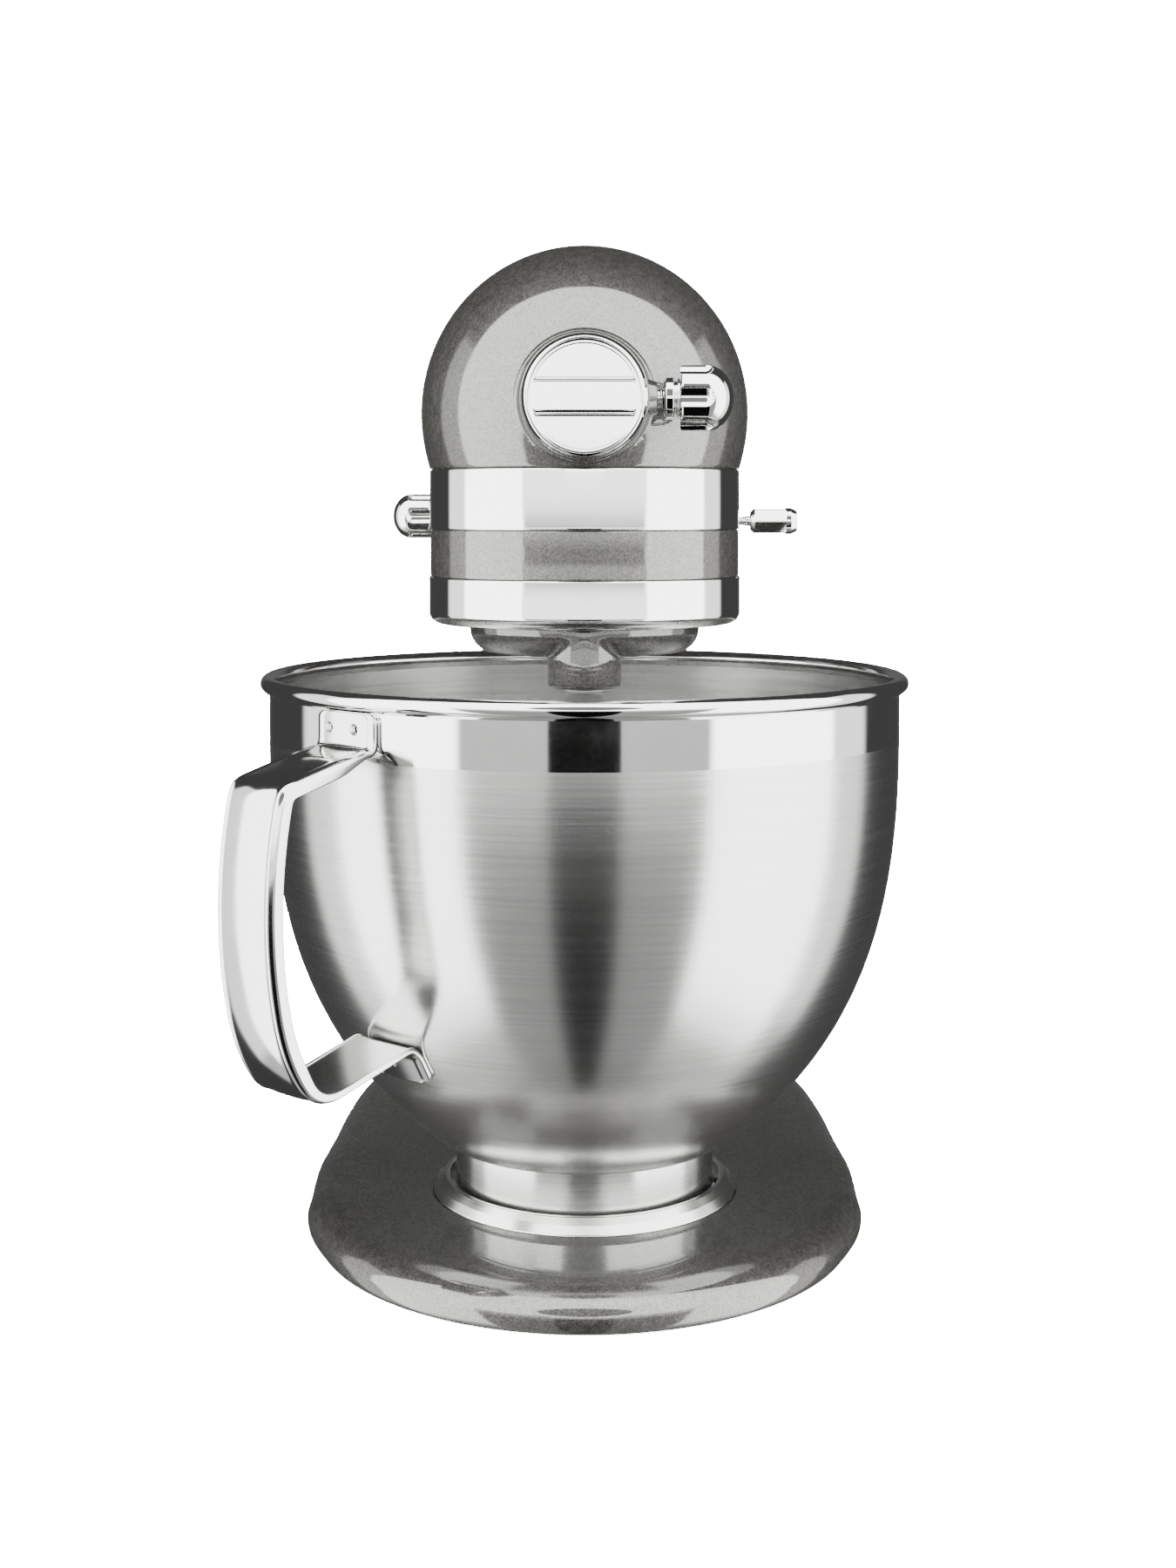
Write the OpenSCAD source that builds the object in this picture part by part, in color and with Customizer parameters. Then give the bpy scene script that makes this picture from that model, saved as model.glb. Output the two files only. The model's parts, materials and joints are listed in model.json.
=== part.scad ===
// Tilt-head stand mixer with a bayonet bowl.
// The bowl and planetary axis is the Z axis, the front faces -Y, and Z is 0 on the table.

/* [Bowl] */
// Outer radius of the bowl's rolled rim
rim_r = 114; // [112:0.5:115]
// Height of the top of the rim above the table
rim_z = 196.5; // [195:0.5:197]
// Radius of the bowl's foot ring
foot_r = 45.4; // [44:0.2:46]
// Sheet thickness of the bowl
bowl_t = 1; // [0.8:0.1:1.4]
// Direction of the handle, turned from the front towards the left
handle_turn = 41.5; // [35:0.5:48]
// Width of the handle strap
handle_w = 27; // [24:1:29]

/* [Stand] */
// Radius of the round front of the base
base_r = 98; // [96:0.5:100]
// Greatest half width of the base, behind the bowl
base_side = 101.5; // [100:0.5:103]
// Where the back of the base is
base_back = 215; // [212:1:220]
// Height of the flat top of the base
base_z = 14.4; // [14:0.1:15]
// Half width of the column's neck
neck_w = 44; // [42:0.5:46]
// Where the front of the neck is
neck_front = 119; // [118:0.5:121]
// Where the back of the neck is
neck_back = 196; // [194:0.5:198]

/* [Head] */
// Radius of the round front of the trim band
band_r = 54.8; // [54:0.1:55.2]
// Radius of the upper housing at its fullest
dome_r = 57.9; // [57:0.1:58.5]
// How much wider the head is at its middle than at its front
head_swell = 3.6; // [2:0.2:4]
// Underside of the gear case
case_z = 230.5; // [230:0.1:231]
// Lower edge of the trim band
band_z = 247; // [246.8:0.1:247.2]
// Upper edge of the trim band
dome_z = 268.2; // [268:0.1:268.6]
// Wall of the cast housings
wall = 3; // [2.6:0.1:3.2]

/* [Hinge and lock] */
// Distance of the head's hinge behind the bowl axis
hinge_y = 160; // [159:0.5:161]
// Height of the head's hinge
hinge_z = 215; // [214.5:0.1:215.5]
// Radius of the hinge pin
hinge_r = 5; // [4.5:0.1:5.2]
// Furthest that the head tilts back, in degrees
tilt_max = 35; // [30:1:35]

/* [Drive] */
// Distance of the agitator shaft from the planetary axis
orbit = 27; // [27:1:27]
// Teeth of the fixed internal gear
ring_teeth = 73; // [73:1:73]
// Teeth of the agitator pinion
pinion_teeth = 19; // [19:1:19]
// Radius of the agitator shaft
agitator_r = 6.15; // [6:0.05:6.3]
// Height of the attachment hub's axis
hub_z = 290.4; // [290:0.1:291]

/* [Hidden] */
$fn = 64;
e = 0.01;

// heights of the head's full section and of its crown
full_z = 288;
crown_front = 59.5;
crown_rise = 4;
// where the head's sides are widest, and where its back is at four heights
side_y = 80;
back_y = 240;

// planetary: carrier, shafts and gears
carrier_r = 40.6;
carrier_z = 203.8;
stem_r = 12.6;
stem_z = 193.4;
pin_z = 186.5;
shaft_r = 6;
gear_z = 234;
module_ring = 2 * orbit / (ring_teeth - pinion_teeth);

// idler shaft between the worm and the planetary's shaft
main_teeth = 48;
idler_teeth = 12;
wheel_teeth = 30;
idler_m = 1.25;
idler_x = 25;
idler_reach = idler_m * (main_teeth + idler_teeth) / 2;
idler_y = sqrt(idler_reach * idler_reach - idler_x * idler_x);
mesh_turn = atan2(idler_y, idler_x);
motor_z = 291;
run = 0.05;

// attachment hub and its knob
boss_r = 21.5;
hub_face = -72.3;
knob_y = -63;
hub_bevel_r = 10;
centre_bevel_r = 20;

// levers
lever_y = 100;
lever_z = 249;
lever_x = 26;
crank = 14;
lock_z = 251;
lock_x = -22;
lock_pin_z = 240;
screw_z = 257.6;
gland_x = -16;

// bowl curve: half a superellipse, from the rim's height down
bowl_top = 190.4;
bowl_deep = 176.7;
bowl_wide = rim_r - 3.2;
bowl_floor = 33.2;
seat_z = 10.6;

// ---------- shared shapes ----------

// right half of a plan outline, from the front centre to the back centre
function half_plan(front, side, sy, back, square) = concat(
    [for (i = [0:11]) let (a = i * 7.5) [front * sin(a), -front * cos(a)]],
    [for (i = [0:5]) let (t = i / 6) [front + (side - front) * sin(90 * t), sy * t]],
    [for (i = [0:12]) let (a = i * 7.5)
        [side * pow(cos(a), 2 / square), sy + (back - sy) * pow(sin(a), 2 / square)]]);

// closed outline, mirrored from its right half
function both_sides(half) = let (n = len(half)) concat(half,
    [for (i = [n - 2:-1:1]) [-half[i][0], half[i][1]]]);

// superellipse outline round a centre, from its front point
function oval(w, y0, y1, square) = [for (i = [0:47]) let (a = i * 7.5 - 90, c = cos(a), s = sin(a))
    [w * sign(c) * pow(abs(c), 2 / square),
        (y0 + y1) / 2 + (y1 - y0) / 2 * sign(s) * pow(abs(s), 2 / square)]];

function at_z(outline, z) = [for (p = outline) [p[0], p[1], z]];

// closed solid through a stack of rings that all have the same number of points
module skin(rings) {
    n = len(rings[0]);
    top = (len(rings) - 1) * n;
    polyhedron(
        points = [for (r = rings) for (p = r) p],
        faces = concat(
            [for (j = [0:len(rings) - 2]) for (i = [0:n - 1]) let (k = (i + 1) % n)
                [j * n + i, (j + 1) * n + i, (j + 1) * n + k]],
            [for (j = [0:len(rings) - 2]) for (i = [0:n - 1]) let (k = (i + 1) % n)
                [j * n + i, (j + 1) * n + k, j * n + k]],
            [[0, 1, n - 1]],
            [for (i = [1:n / 2 - 2]) [i, i + 1, n - i - 1, n - i]],
            [[n / 2 - 1, n / 2, n / 2 + 1]],
            [[top + n - 1, top + 1, top]],
            [for (i = [1:n / 2 - 2]) [top + n - i, top + n - i - 1, top + i + 1, top + i]],
            [[top + n / 2 + 1, top + n / 2, top + n / 2 - 1]]),
        convexity = 8);
}

module along_x(x, y, z, h, r) {
    translate([x, y, z])
        rotate([0, 90, 0])
            cylinder(h = h, r = r);
}

module along_y(x, y, z, h, r) {
    translate([x, y, z])
        rotate([-90, 0, 0])
            cylinder(h = h, r = r);
}

module post(x, y, z, h, r) {
    translate([x, y, z])
        cylinder(h = h, r = r);
}

module block(x, y, z) {
    translate([x[0], y[0], z[0]])
        cube([x[1] - x[0], y[1] - y[0], z[1] - z[0]]);
}

// gear outline with straight-sided teeth and a tooth centred at angle a0
function gear(n, pitch, add, ded, a0) = [for (i = [0:n - 1]) for (k = [-2, -1, 1, 2])
    let (r = abs(k) == 1 ? pitch + add : pitch - ded,
        a = a0 + (i + sign(k) * (abs(k) == 1 ? 0.12 : 0.26)) * 360 / n)
    [r * cos(a), r * sin(a)]];

module slotted_screw(head_r, head_h, r, h) {
    difference() {
        union() {
            cylinder(h = head_h, r = head_r);
            translate([0, 0, -h])
                cylinder(h = h + e, r = r);
        }
        translate([-head_r, -0.5, head_h - 0.8])
            cube([2 * head_r, 1, 1]);
    }
}

// ---------- stand ----------

// one ring of the base: lift goes from 0 at the edge to 90 on the flat top
function base_ring(lift, t) = let (g = 1 - pow(cos(lift), 0.8))
    at_z(both_sides(half_plan(base_r - t - 44 * g, base_side - t - 26 * g, 50,
        base_back - t - 9 * g, 3)),
        5 - t * 0.4 + (base_z - 5 - t * 0.6) * pow(sin(lift), 0.8));

foot_places = [[0, -80], [74, -14], [-74, -14], [60, 176], [-60, 176]];
bolt_places = [for (x = [-36, 36]) for (y = [115, 180]) [x, y]];

module base_casting() {
    color([0.50, 0.49, 0.46])
    difference() {
        union() {
            difference() {
                skin(concat([at_z(both_sides(half_plan(base_r - 0.8, base_side - 0.8, 50,
                    base_back - 0.8, 3)), 1.2)], [for (a = [0:10:90]) base_ring(a, 0)]));
                skin(concat([at_z(both_sides(half_plan(base_r - 4, base_side - 4, 50,
                    base_back - 4, 3)), -1)], [for (a = [0:15:90]) base_ring(a, 4)]));
            }
            post(0, 0, 4.6, 7, 57);
            for (p = foot_places)
                post(p[0], p[1], 3.5, 6.5, 10);
        }
        post(0, 0, 8.6, 10, 53.4);
        for (p = foot_places)
            post(p[0], p[1], 3, 5.5, 3);
        for (p = bolt_places)
            post(p[0], p[1], 2, 20, 4.1);
        for (a = [30:120:270])
            post(30 * cos(a), 30 * sin(a), 0, 20, 2.1);
    }
}

function column_ring(z, t) = let (f = exp((base_z - z) / 25))
    at_z(oval(neck_w - t + 27 * f, neck_front + t - 61 * f, neck_back - t + 8 * f, 2.7), z);

// space above the column that the head needs when it is tilted right back
module tilt_cut() {
    for (i = [1:4])
        translate([0, hinge_y, hinge_z])
            rotate([-i / 4 * (tilt_max + 1), 0, 0])
                translate([-60, 0, case_z - hinge_z - 1.6])
                    cube([120, 70, 50]);
}

module column_casting() {
    color([0.50, 0.49, 0.46])
    difference() {
        union() {
            difference() {
                skin([for (z = [base_z, 17, 20, 24, 29, 35, 43, 53, 66, 85, 115, 150, 190, 229])
                    column_ring(z, 0)]);
                skin([for (z = [20, 24, 29, 35, 43, 53, 66, 85, 115, 150, 188])
                    column_ring(z, 5)]);
            }
            block([-28, -16], [122, 130], [220, 246]);
            for (p = bolt_places)
                post(p[0], p[1], 18, 22, 8);
        }
        block([-16, 16], [138, 215], [191, 240]);
        tilt_cut();
        along_x(-60, hinge_y, hinge_z, 120, hinge_r);
        block([lock_x - 3.8, lock_x + 3.8], [118, 138], [lock_pin_z - 3.8, lock_pin_z + 3.8]);
        post(-32, hinge_y, 217, 20, 2.05);
        post(0, 128, 205, 40, 2.55);
        for (p = bolt_places)
            post(p[0], p[1], 10, 24.5, 4.02);
    }
}

module rubber_feet() {
    color([0.12, 0.12, 0.12])
    for (p = foot_places) {
        post(p[0], p[1], 0, 3.45, 9);
        post(p[0], p[1], 3, 5, 2.98);
    }
}

module column_bolts() {
    color("silver")
    for (p = bolt_places) {
        post(p[0], p[1], 10.2, 24, 4);
        post(p[0], p[1], 5.2, 5.1, 6.5);
    }
}

module bowl_clamp_plate() {
    color([0.72, 0.72, 0.70])
    difference() {
        union() {
            rotate_extrude()
                polygon([[0, 8.65], [53.3, 8.65], [53.3, base_z], [49.6, 19.2], [49.2, 19.4],
                    [47.6, 19.4], [47.6, seat_z], [0, seat_z]]);
            for (a = [0:120:240])
                rotate([0, 0, a])
                    rotate_extrude(angle = 30)
                        polygon([[46.1, 14.2], [47.8, 14.2], [47.8, 16.4], [46.1, 16.4]]);
        }
        for (a = [30:120:270]) {
            post(30 * cos(a), 30 * sin(a), 0, 20, 2.1);
            post(30 * cos(a), 30 * sin(a), 9.6, 5, 4.6);
        }
    }
}

module clamp_plate_screws() {
    color("silver")
    for (a = [30:120:270])
        translate([30 * cos(a), 30 * sin(a), 9.65])
            slotted_screw(4.5, 0.9, 2, 7);
}

module hinge_pin() {
    color("silver")
    along_x(-neck_w + 0.5, hinge_y, hinge_z, 2 * neck_w - 1, hinge_r - 0.02);
}

module hinge_set_screw() {
    color([0.2, 0.2, 0.2])
    difference() {
        post(-32, hinge_y, hinge_z + hinge_r, 8, 2);
        translate([-32, hinge_y, hinge_z + hinge_r + 5.5])
            cylinder(h = 4, r = 1.1, $fn = 6);
    }
}

module height_adjust_screw() {
    color([0.3, 0.3, 0.3])
    difference() {
        post(0, 128, 208, 22, 2.5);
        translate([-3, 127.5, 229])
            cube([6, 1, 2]);
    }
}

// ---------- bowl ----------

function bowl_radius(z, t) = (bowl_wide - t)
    * pow(1 - pow((bowl_top - z) / (bowl_deep - t), 2.92), 0.65);

// outline from the rim down to the flat bottom, moved in by t
function bowl_side(t) = concat([[bowl_wide - t, rim_z - 3]],
    [for (i = [0:27]) let (z = bowl_top - (bowl_top - 35 - t) * pow(i / 27, 0.8))
        [bowl_radius(z, t), z]],
    [[bowl_radius(35, 0) - 2 - t / 2, bowl_floor + 0.4 + t], [foot_r, bowl_floor + t],
        [20, bowl_floor + t], [0, bowl_floor + 3 + t]]);

module bowl_shell() {
    outside = bowl_side(0);
    inside = bowl_side(bowl_t);
    n = len(inside);
    color([0.70, 0.70, 0.69])
    union() {
        rotate_extrude($fn = 128)
            polygon(concat(outside, [for (i = [n - 1:-1:0]) inside[i]]));
        rotate_extrude($fn = 128)
            translate([rim_r - 2.8, rim_z - 2.8])
                circle(r = 2.8, $fn = 24);
    }
}

module bowl_foot() {
    color([0.70, 0.70, 0.69])
    union() {
        rotate_extrude($fn = 128)
            polygon([[foot_r - 1.2, seat_z + 0.2], [foot_r, seat_z + 0.2], [foot_r, bowl_floor],
                [foot_r - 1.2, bowl_floor]]);
        for (a = [0:120:240])
            rotate([0, 0, a + 4])
                rotate_extrude(angle = 22)
                    polygon([[foot_r - 0.4, 11.2], [foot_r + 1.5, 11.2], [foot_r + 1.5, 13.6],
                        [foot_r - 0.4, 13.6]]);
    }
}

// middle line of the strap, as distance from the bowl axis and height
function arc(r, z, radius, a0, a1, n) = [for (i = [0:n]) let (a = a0 + (a1 - a0) * i / n)
    [r + radius * cos(a), z + radius * sin(a)]];

handle_line = concat([[112, 190], [112, 179.4], [112.9, 178.3]], arc(142.5, 166, 5.2, 77, 13, 4),
    arc(-2.8, 133, 154.2, 9, -12, 8), arc(90.1, 113.3, 59.2, -17, -35, 3),
    arc(128.6, 86.3, 12.2, -49, -105, 4),
    [[101.5, 80.9], [96.5, 82.6], [95, 82.6], [87.8, 70.5]]);

// part of a line from point i0 to point i1, thickened outwards and inwards, centred on y
module strap(i0, i1, out, in, w, y) {
    line = [for (i = [i0:i1]) handle_line[i]];
    n = len(line);
    normals = [for (i = [0:n - 1]) let (d = line[min(i + 1, n - 1)] - line[max(i - 1, 0)])
        [-d[1], d[0]] / norm(d)];
    translate([0, y + w / 2, 0])
        rotate([90, 0, 0])
            linear_extrude(w)
                polygon(concat([for (i = [0:n - 1]) line[i] + normals[i] * out],
                    [for (i = [n - 1:-1:0]) line[i] - normals[i] * in]));
}

module bowl_handle() {
    color([0.78, 0.78, 0.77])
    rotate([0, 0, -90 - handle_turn])
        union() {
            strap(0, len(handle_line) - 1, 0.8, 0.8, handle_w, 0);
            for (side = [-1, 1])
                strap(2, 25, 0.8, 3, 1.6, side * (handle_w / 2 - 0.8));
        }
}

// ---------- head casings ----------

// ring of the head's dome: lift 0 at the fullest section, 90 at the crown; t moves it inwards
function dome_ring(lift, t) =
    let (c = cos(lift), r = (dome_r - t) * c,
        outline = both_sides(half_plan(r, r + head_swell * c, side_y,
            side_y + (back_y - t - side_y) * pow(c, 0.8), 2.5)))
    [for (p = outline) let (f = min(1, max(0, p[1] / 60)))
        [p[0], p[1], full_z + (crown_front - t + crown_rise * f * f * (3 - 2 * f)) * sin(lift)]];

// flat ring of the head below its fullest section
function head_ring(z, r) =
    at_z(both_sides(half_plan(r, r + head_swell, side_y,
        back_y - (dome_r - r) - (full_z - z) * 0.12, 2.5)), z);

function bulge(z) = dome_r - (dome_r - band_r) * pow((full_z - z) / (full_z - dome_z), 2);

module head_shell() {
    difference() {
        skin(concat([head_ring(band_z + 0.1, band_r - 1.35), head_ring(dome_z - 0.2, band_r - 1.35),
            head_ring(dome_z, band_r)], [for (z = [273:5:283]) head_ring(z, bulge(z))],
            [for (a = [0:7:84]) dome_ring(a, 0)]));
        skin(concat([head_ring(band_z - 3, band_r - 1.35 - wall),
            head_ring(dome_z, band_r - 1.35 - wall)],
            [for (a = [0:12:84]) dome_ring(a, wall)]));
    }
}

module lever_slots() {
    block([-80, -40], [lever_y - 4, lever_y + 19.5], [band_z - 2, lock_z + 4.2]);
    block([40, 80], [lever_y - 3, lever_y + 35], [band_z - 2, lever_z + 2.4]);
}

module upper_housing() {
    color([0.50, 0.49, 0.46])
    difference() {
        union() {
            difference() {
                head_shell();
                block([-80, 80], [222, 250], [dome_z, 360]);
                along_y(0, -80, hub_z, 60, boss_r - 1);
            }
            difference() {
                along_y(0, -72, hub_z, 30, boss_r);
                along_y(0, -80, hub_z, 60, 19.55);
            }
            along_x(20.2, knob_y, hub_z, 3.4, 5.5);
        }
        along_x(17, knob_y, hub_z, 10, 3.4);
        for (s = [-1, 1])
            along_x(s == 1 ? 45 : -75, 155, motor_z, 30, 7.1);
        lever_slots();
        for (x = [-9, 9])
            along_y(x, 215, screw_z, 30, 1.6);
    }
}

module gear_case() {
    color([0.50, 0.49, 0.46])
    difference() {
        union() {
            difference() {
                skin([head_ring(case_z, band_r - 0.8), head_ring(case_z + 0.8, band_r),
                    head_ring(band_z, band_r)]);
                skin([head_ring(gear_z, band_r - wall - 0.4),
                    head_ring(band_z + 3, band_r - wall - 0.4)]);
            }
            along_x(-15, hinge_y, hinge_z, 30, 14);
            block([-15, 15], [hinge_y - 12, hinge_y + 12], [hinge_z, gear_z]);
            post(lever_x, lever_y, gear_z - 1, 17, 2.95);
        }
        post(0, 0, case_z - 5, 10, 41);
        along_x(-20, hinge_y, hinge_z, 40, hinge_r + 0.03);
        block([-31, -13], [107, 134], [case_z - 2, gear_z + 1]);
        along_y(gland_x, 210, 240, 30, 4.05);
    }
}

module trim_band() {
    color([0.82, 0.82, 0.81])
    difference() {
        skin([head_ring(band_z + 0.1, band_r), head_ring(dome_z - 0.25, band_r)]);
        skin([head_ring(band_z - 1, band_r - 1.3), head_ring(dome_z + 1, band_r - 1.3)]);
        lever_slots();
        block([-4, 4], [200, 260], [band_z - 2, dome_z + 2]);
        for (x = [-9, 9])
            along_y(x, 215, screw_z, 30, 1.6);
    }
}

module band_screws() {
    color("silver")
    for (x = [-9, 9])
        translate([x, 233, screw_z])
            rotate([-90, 0, 0])
                slotted_screw(3, 1.6, 1.5, 7);
}

module drip_ring() {
    color([0.82, 0.82, 0.81])
    rotate_extrude($fn = 128)
        polygon(concat([[band_r - 1.6, case_z - 0.05], [band_r, case_z - 0.05]],
            [for (a = [0:-15:-90]) [band_r - 4 + 4 * cos(a), 218 + 4 * sin(a)]],
            [[43.5, 214], [43.5, 215.6]],
            [for (a = [-90:15:0]) [band_r - 4 + 2.4 * cos(a), 218 + 2.4 * sin(a)]]));
}

module rear_cover() {
    color([0.50, 0.49, 0.46])
    difference() {
        intersection() {
            head_shell();
            block([-80, 80], [222.3, 250], [dome_z + 0.2, 360]);
        }
        along_y(0, 215, 300, 40, 2.6);
        along_y(0, 237.35, 300, 10, 4.3);
        for (x = [-24:8:24])
            block([x - 1.5, x + 1.5], [215, 250], [276, 288]);
    }
}

module rear_cover_screw() {
    color("silver")
    translate([0, 237.4, 300])
        rotate([-90, 0, 0])
            slotted_screw(4, 1.8, 2.5, 8);
}

// ---------- motor ----------

module brush_caps() {
    color([0.08, 0.08, 0.08])
    for (s = [-1, 1])
        difference() {
            along_x(s == 1 ? 50 : -59, 155, motor_z, 9, 7);
            block([s * 58.5 - 1, s * 58.5 + 1], [148, 162], [motor_z - 0.7, motor_z + 0.7]);
        }
}

module brush_holders() {
    color([0.75, 0.62, 0.30])
    for (s = [-1, 1])
        difference() {
            along_x(s == 1 ? 15 : -49.9, 155, motor_z, 34.9, 5);
            along_x(s == 1 ? 14 : -51, 155, motor_z, 37, 3.5);
        }
}

module carbon_brushes() {
    color([0.18, 0.18, 0.18])
    for (s = [-1, 1])
        along_x(s == 1 ? 12.3 : -28.3, 155, motor_z, 16, 3.4);
}

module field_core() {
    color([0.45, 0.46, 0.48])
    difference() {
        along_y(0, 82, motor_z, 54, 38);
        along_y(0, 80, motor_z, 60, 24.6);
        for (s = [-1, 1]) {
            block([s == 1 ? 25 : -33, s == 1 ? 33 : -25], [80, 140], [motor_z - 14, motor_z + 14]);
            along_y(0, 80, motor_z + s * 33, 60, 2.05);
        }
    }
}

module field_coils() {
    color([0.72, 0.40, 0.20])
    for (s = [-1, 1])
        block([s == 1 ? 25.3 : -32.7, s == 1 ? 32.7 : -25.3], [74, 144],
            [motor_z - 13.5, motor_z + 13.5]);
}

module motor_bracket() {
    color([0.62, 0.63, 0.64])
    difference() {
        union() {
            along_y(0, 50, motor_z, 5, 26);
            block([-53, 53], [50, 55], [motor_z - 9, motor_z + 9]);
            for (s = [-1, 1])
                along_y(0, 50, motor_z + s * 33, 32, 4);
            block([-5, 5], [50, 55], [motor_z - 37, motor_z + 37]);
        }
        along_y(0, 48, motor_z, 10, 9.5);
        for (s = [-1, 1])
            along_y(0, 40, motor_z + s * 33, 60, 2.05);
    }
}

module rear_bracket() {
    color([0.62, 0.63, 0.64])
    difference() {
        union() {
            along_y(0, 170, motor_z, 6, 18);
            block([-49, 49], [170, 176], [motor_z - 8, motor_z + 8]);
        }
        along_y(0, 168, motor_z, 10, 9.5);
    }
}

module motor_bearings() {
    color([0.70, 0.71, 0.72])
    for (y = [50, 170])
        difference() {
            along_y(0, y, motor_z, y == 50 ? 5 : 6, 9.45);
            along_y(0, y - 1, motor_z, 8, 3.6 + run);
        }
}

module armature_shaft() {
    color([0.75, 0.75, 0.76])
    union() {
        along_y(0, 11, motor_z, 168, 3.6);
        translate([0, 40, motor_z])
            rotate([90, 0, 0])
                linear_extrude(24, twist = 360 * 24 / 7.85, slices = 36)
                    union() {
                        circle(r = 3.4, $fn = 12);
                        for (a = [0, 180])
                            rotate([0, 0, a])
                                translate([3.1, 0])
                                    circle(r = 1.5, $fn = 10);
                    }
    }
}

module armature_core() {
    color([0.45, 0.46, 0.48])
    difference() {
        along_y(0, 84, motor_z, 52, 24);
        along_y(0, 80, motor_z, 60, 3.6);
        for (a = [0:30:330])
            translate([0, 80, motor_z])
                rotate([0, a, 0])
                    translate([22, 0, -1])
                        cube([4, 60, 2]);
    }
}

module commutator() {
    color([0.72, 0.45, 0.25])
    difference() {
        along_y(0, 147, motor_z, 16, 12);
        along_y(0, 145, motor_z, 20, 3.6);
        for (a = [0:15:345])
            translate([0, 146, motor_z])
                rotate([0, a, 0])
                    translate([11.4, 0, -0.3])
                        cube([2, 18, 0.6]);
    }
}

module cooling_fan() {
    color([0.25, 0.25, 0.26])
    difference() {
        union() {
            along_y(0, 60, motor_z, 10, 8);
            along_y(0, 68, motor_z, 2, 27);
            for (a = [0:36:324])
                translate([0, 60, motor_z])
                    rotate([0, a, 0])
                        translate([7, 0, -0.8])
                            cube([20, 9, 1.6]);
        }
        along_y(0, 58, motor_z, 14, 3.6);
    }
}

// ---------- gearbox ----------

module gear_bracket() {
    color([0.62, 0.63, 0.64])
    difference() {
        union() {
            post(0, 0, 243.5, 3.5, 49.5);
            block([-49.5, 49.5], [0, 62], [243.5, 247]);
            post(40, -5, 243.5, 56, 4);
            post(45.4, 42, 243.5, 56, 4);
            translate([0, 0, 299])
                linear_extrude(4)
                    polygon([[36, -9], [46, -9], [49.4, 46], [40, 46], [17, 36], [17, 20]]);
        }
        post(0, 0, 240, 10, 9);
        post(idler_x, idler_y, 240, 10, 6);
        post(idler_x, idler_y, 297, 10, 4 + run);
    }
}

module internal_gear() {
    color([0.55, 0.55, 0.56])
    translate([0, 0, gear_z])
        linear_extrude(8)
            difference() {
                circle(r = 46);
                polygon(gear(ring_teeth, ring_teeth * module_ring / 2,
                    -0.8 * module_ring, -1.1 * module_ring, -90 + 180 / ring_teeth));
            }
}

module shaft_bushes() {
    color([0.70, 0.52, 0.25])
    union() {
        difference() {
            post(0, 0, 243.5, 10, 8.95);
            post(0, 0, 240, 20, shaft_r + run);
        }
        difference() {
            post(idler_x, idler_y, 243.5, 5, 5.95);
            post(idler_x, idler_y, 240, 20, 4 + run);
        }
    }
}

module vertical_shaft() {
    color([0.75, 0.75, 0.76])
    post(0, 0, carrier_z + 1, 283 - carrier_z - 1, shaft_r);
}

module main_spur_gear() {
    color([0.55, 0.55, 0.56])
    difference() {
        union() {
            translate([0, 0, 256])
                linear_extrude(7)
                    polygon(gear(main_teeth, main_teeth * idler_m / 2, idler_m * 0.8,
                        idler_m * 1.1, mesh_turn));
            post(0, 0, 254, 13, 12);
        }
        post(0, 0, 250, 20, shaft_r);
        for (a = [0:60:300])
            post(20 * cos(a), 20 * sin(a), 250, 20, 4);
    }
}

module centre_bevel_gear() {
    color([0.55, 0.55, 0.56])
    difference() {
        union() {
            translate([0, 0, hub_z - hub_bevel_r])
                linear_extrude(2.6, scale = 1 - 2.6 / hub_bevel_r)
                    polygon(gear(40, centre_bevel_r, 0.9, 1.5, -90));
            post(0, 0, 271, hub_z - hub_bevel_r - 271, 17.5);
        }
        post(0, 0, 270, 20, shaft_r);
    }
}

module hub_bevel_gear() {
    color([0.55, 0.55, 0.56])
    translate([0, -centre_bevel_r, hub_z])
        difference() {
            rotate([-90, 0, 0])
                linear_extrude(5.2, scale = 1 - 5.2 / centre_bevel_r)
                    polygon(gear(20, hub_bevel_r, 0.45, 0.8, -90 + 9));
            along_y(0, -1, 0, 10, 5);
        }
}

module idler_shaft() {
    color([0.75, 0.75, 0.76])
    post(idler_x, idler_y, 243.7, 58, 4);
}

module worm_wheel() {
    color([0.70, 0.52, 0.25])
    difference() {
        union() {
            translate([idler_x, idler_y, motor_z - 4])
                linear_extrude(8)
                    polygon(gear(wheel_teeth, wheel_teeth * idler_m / 2, 1.2, 1.4, 0));
            post(idler_x, idler_y, motor_z - 7, 14, 9);
        }
        post(idler_x, idler_y, motor_z - 10, 20, 4);
    }
}

module idler_pinion() {
    color([0.55, 0.55, 0.56])
    translate([idler_x, idler_y, 255])
        difference() {
            linear_extrude(9)
                polygon(gear(idler_teeth, idler_teeth * idler_m / 2, idler_m * 0.8,
                    idler_m * 1.1, mesh_turn + 180 / idler_teeth));
            post(0, 0, -1, 12, 4);
        }
}

// ---------- planetary ----------

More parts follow.
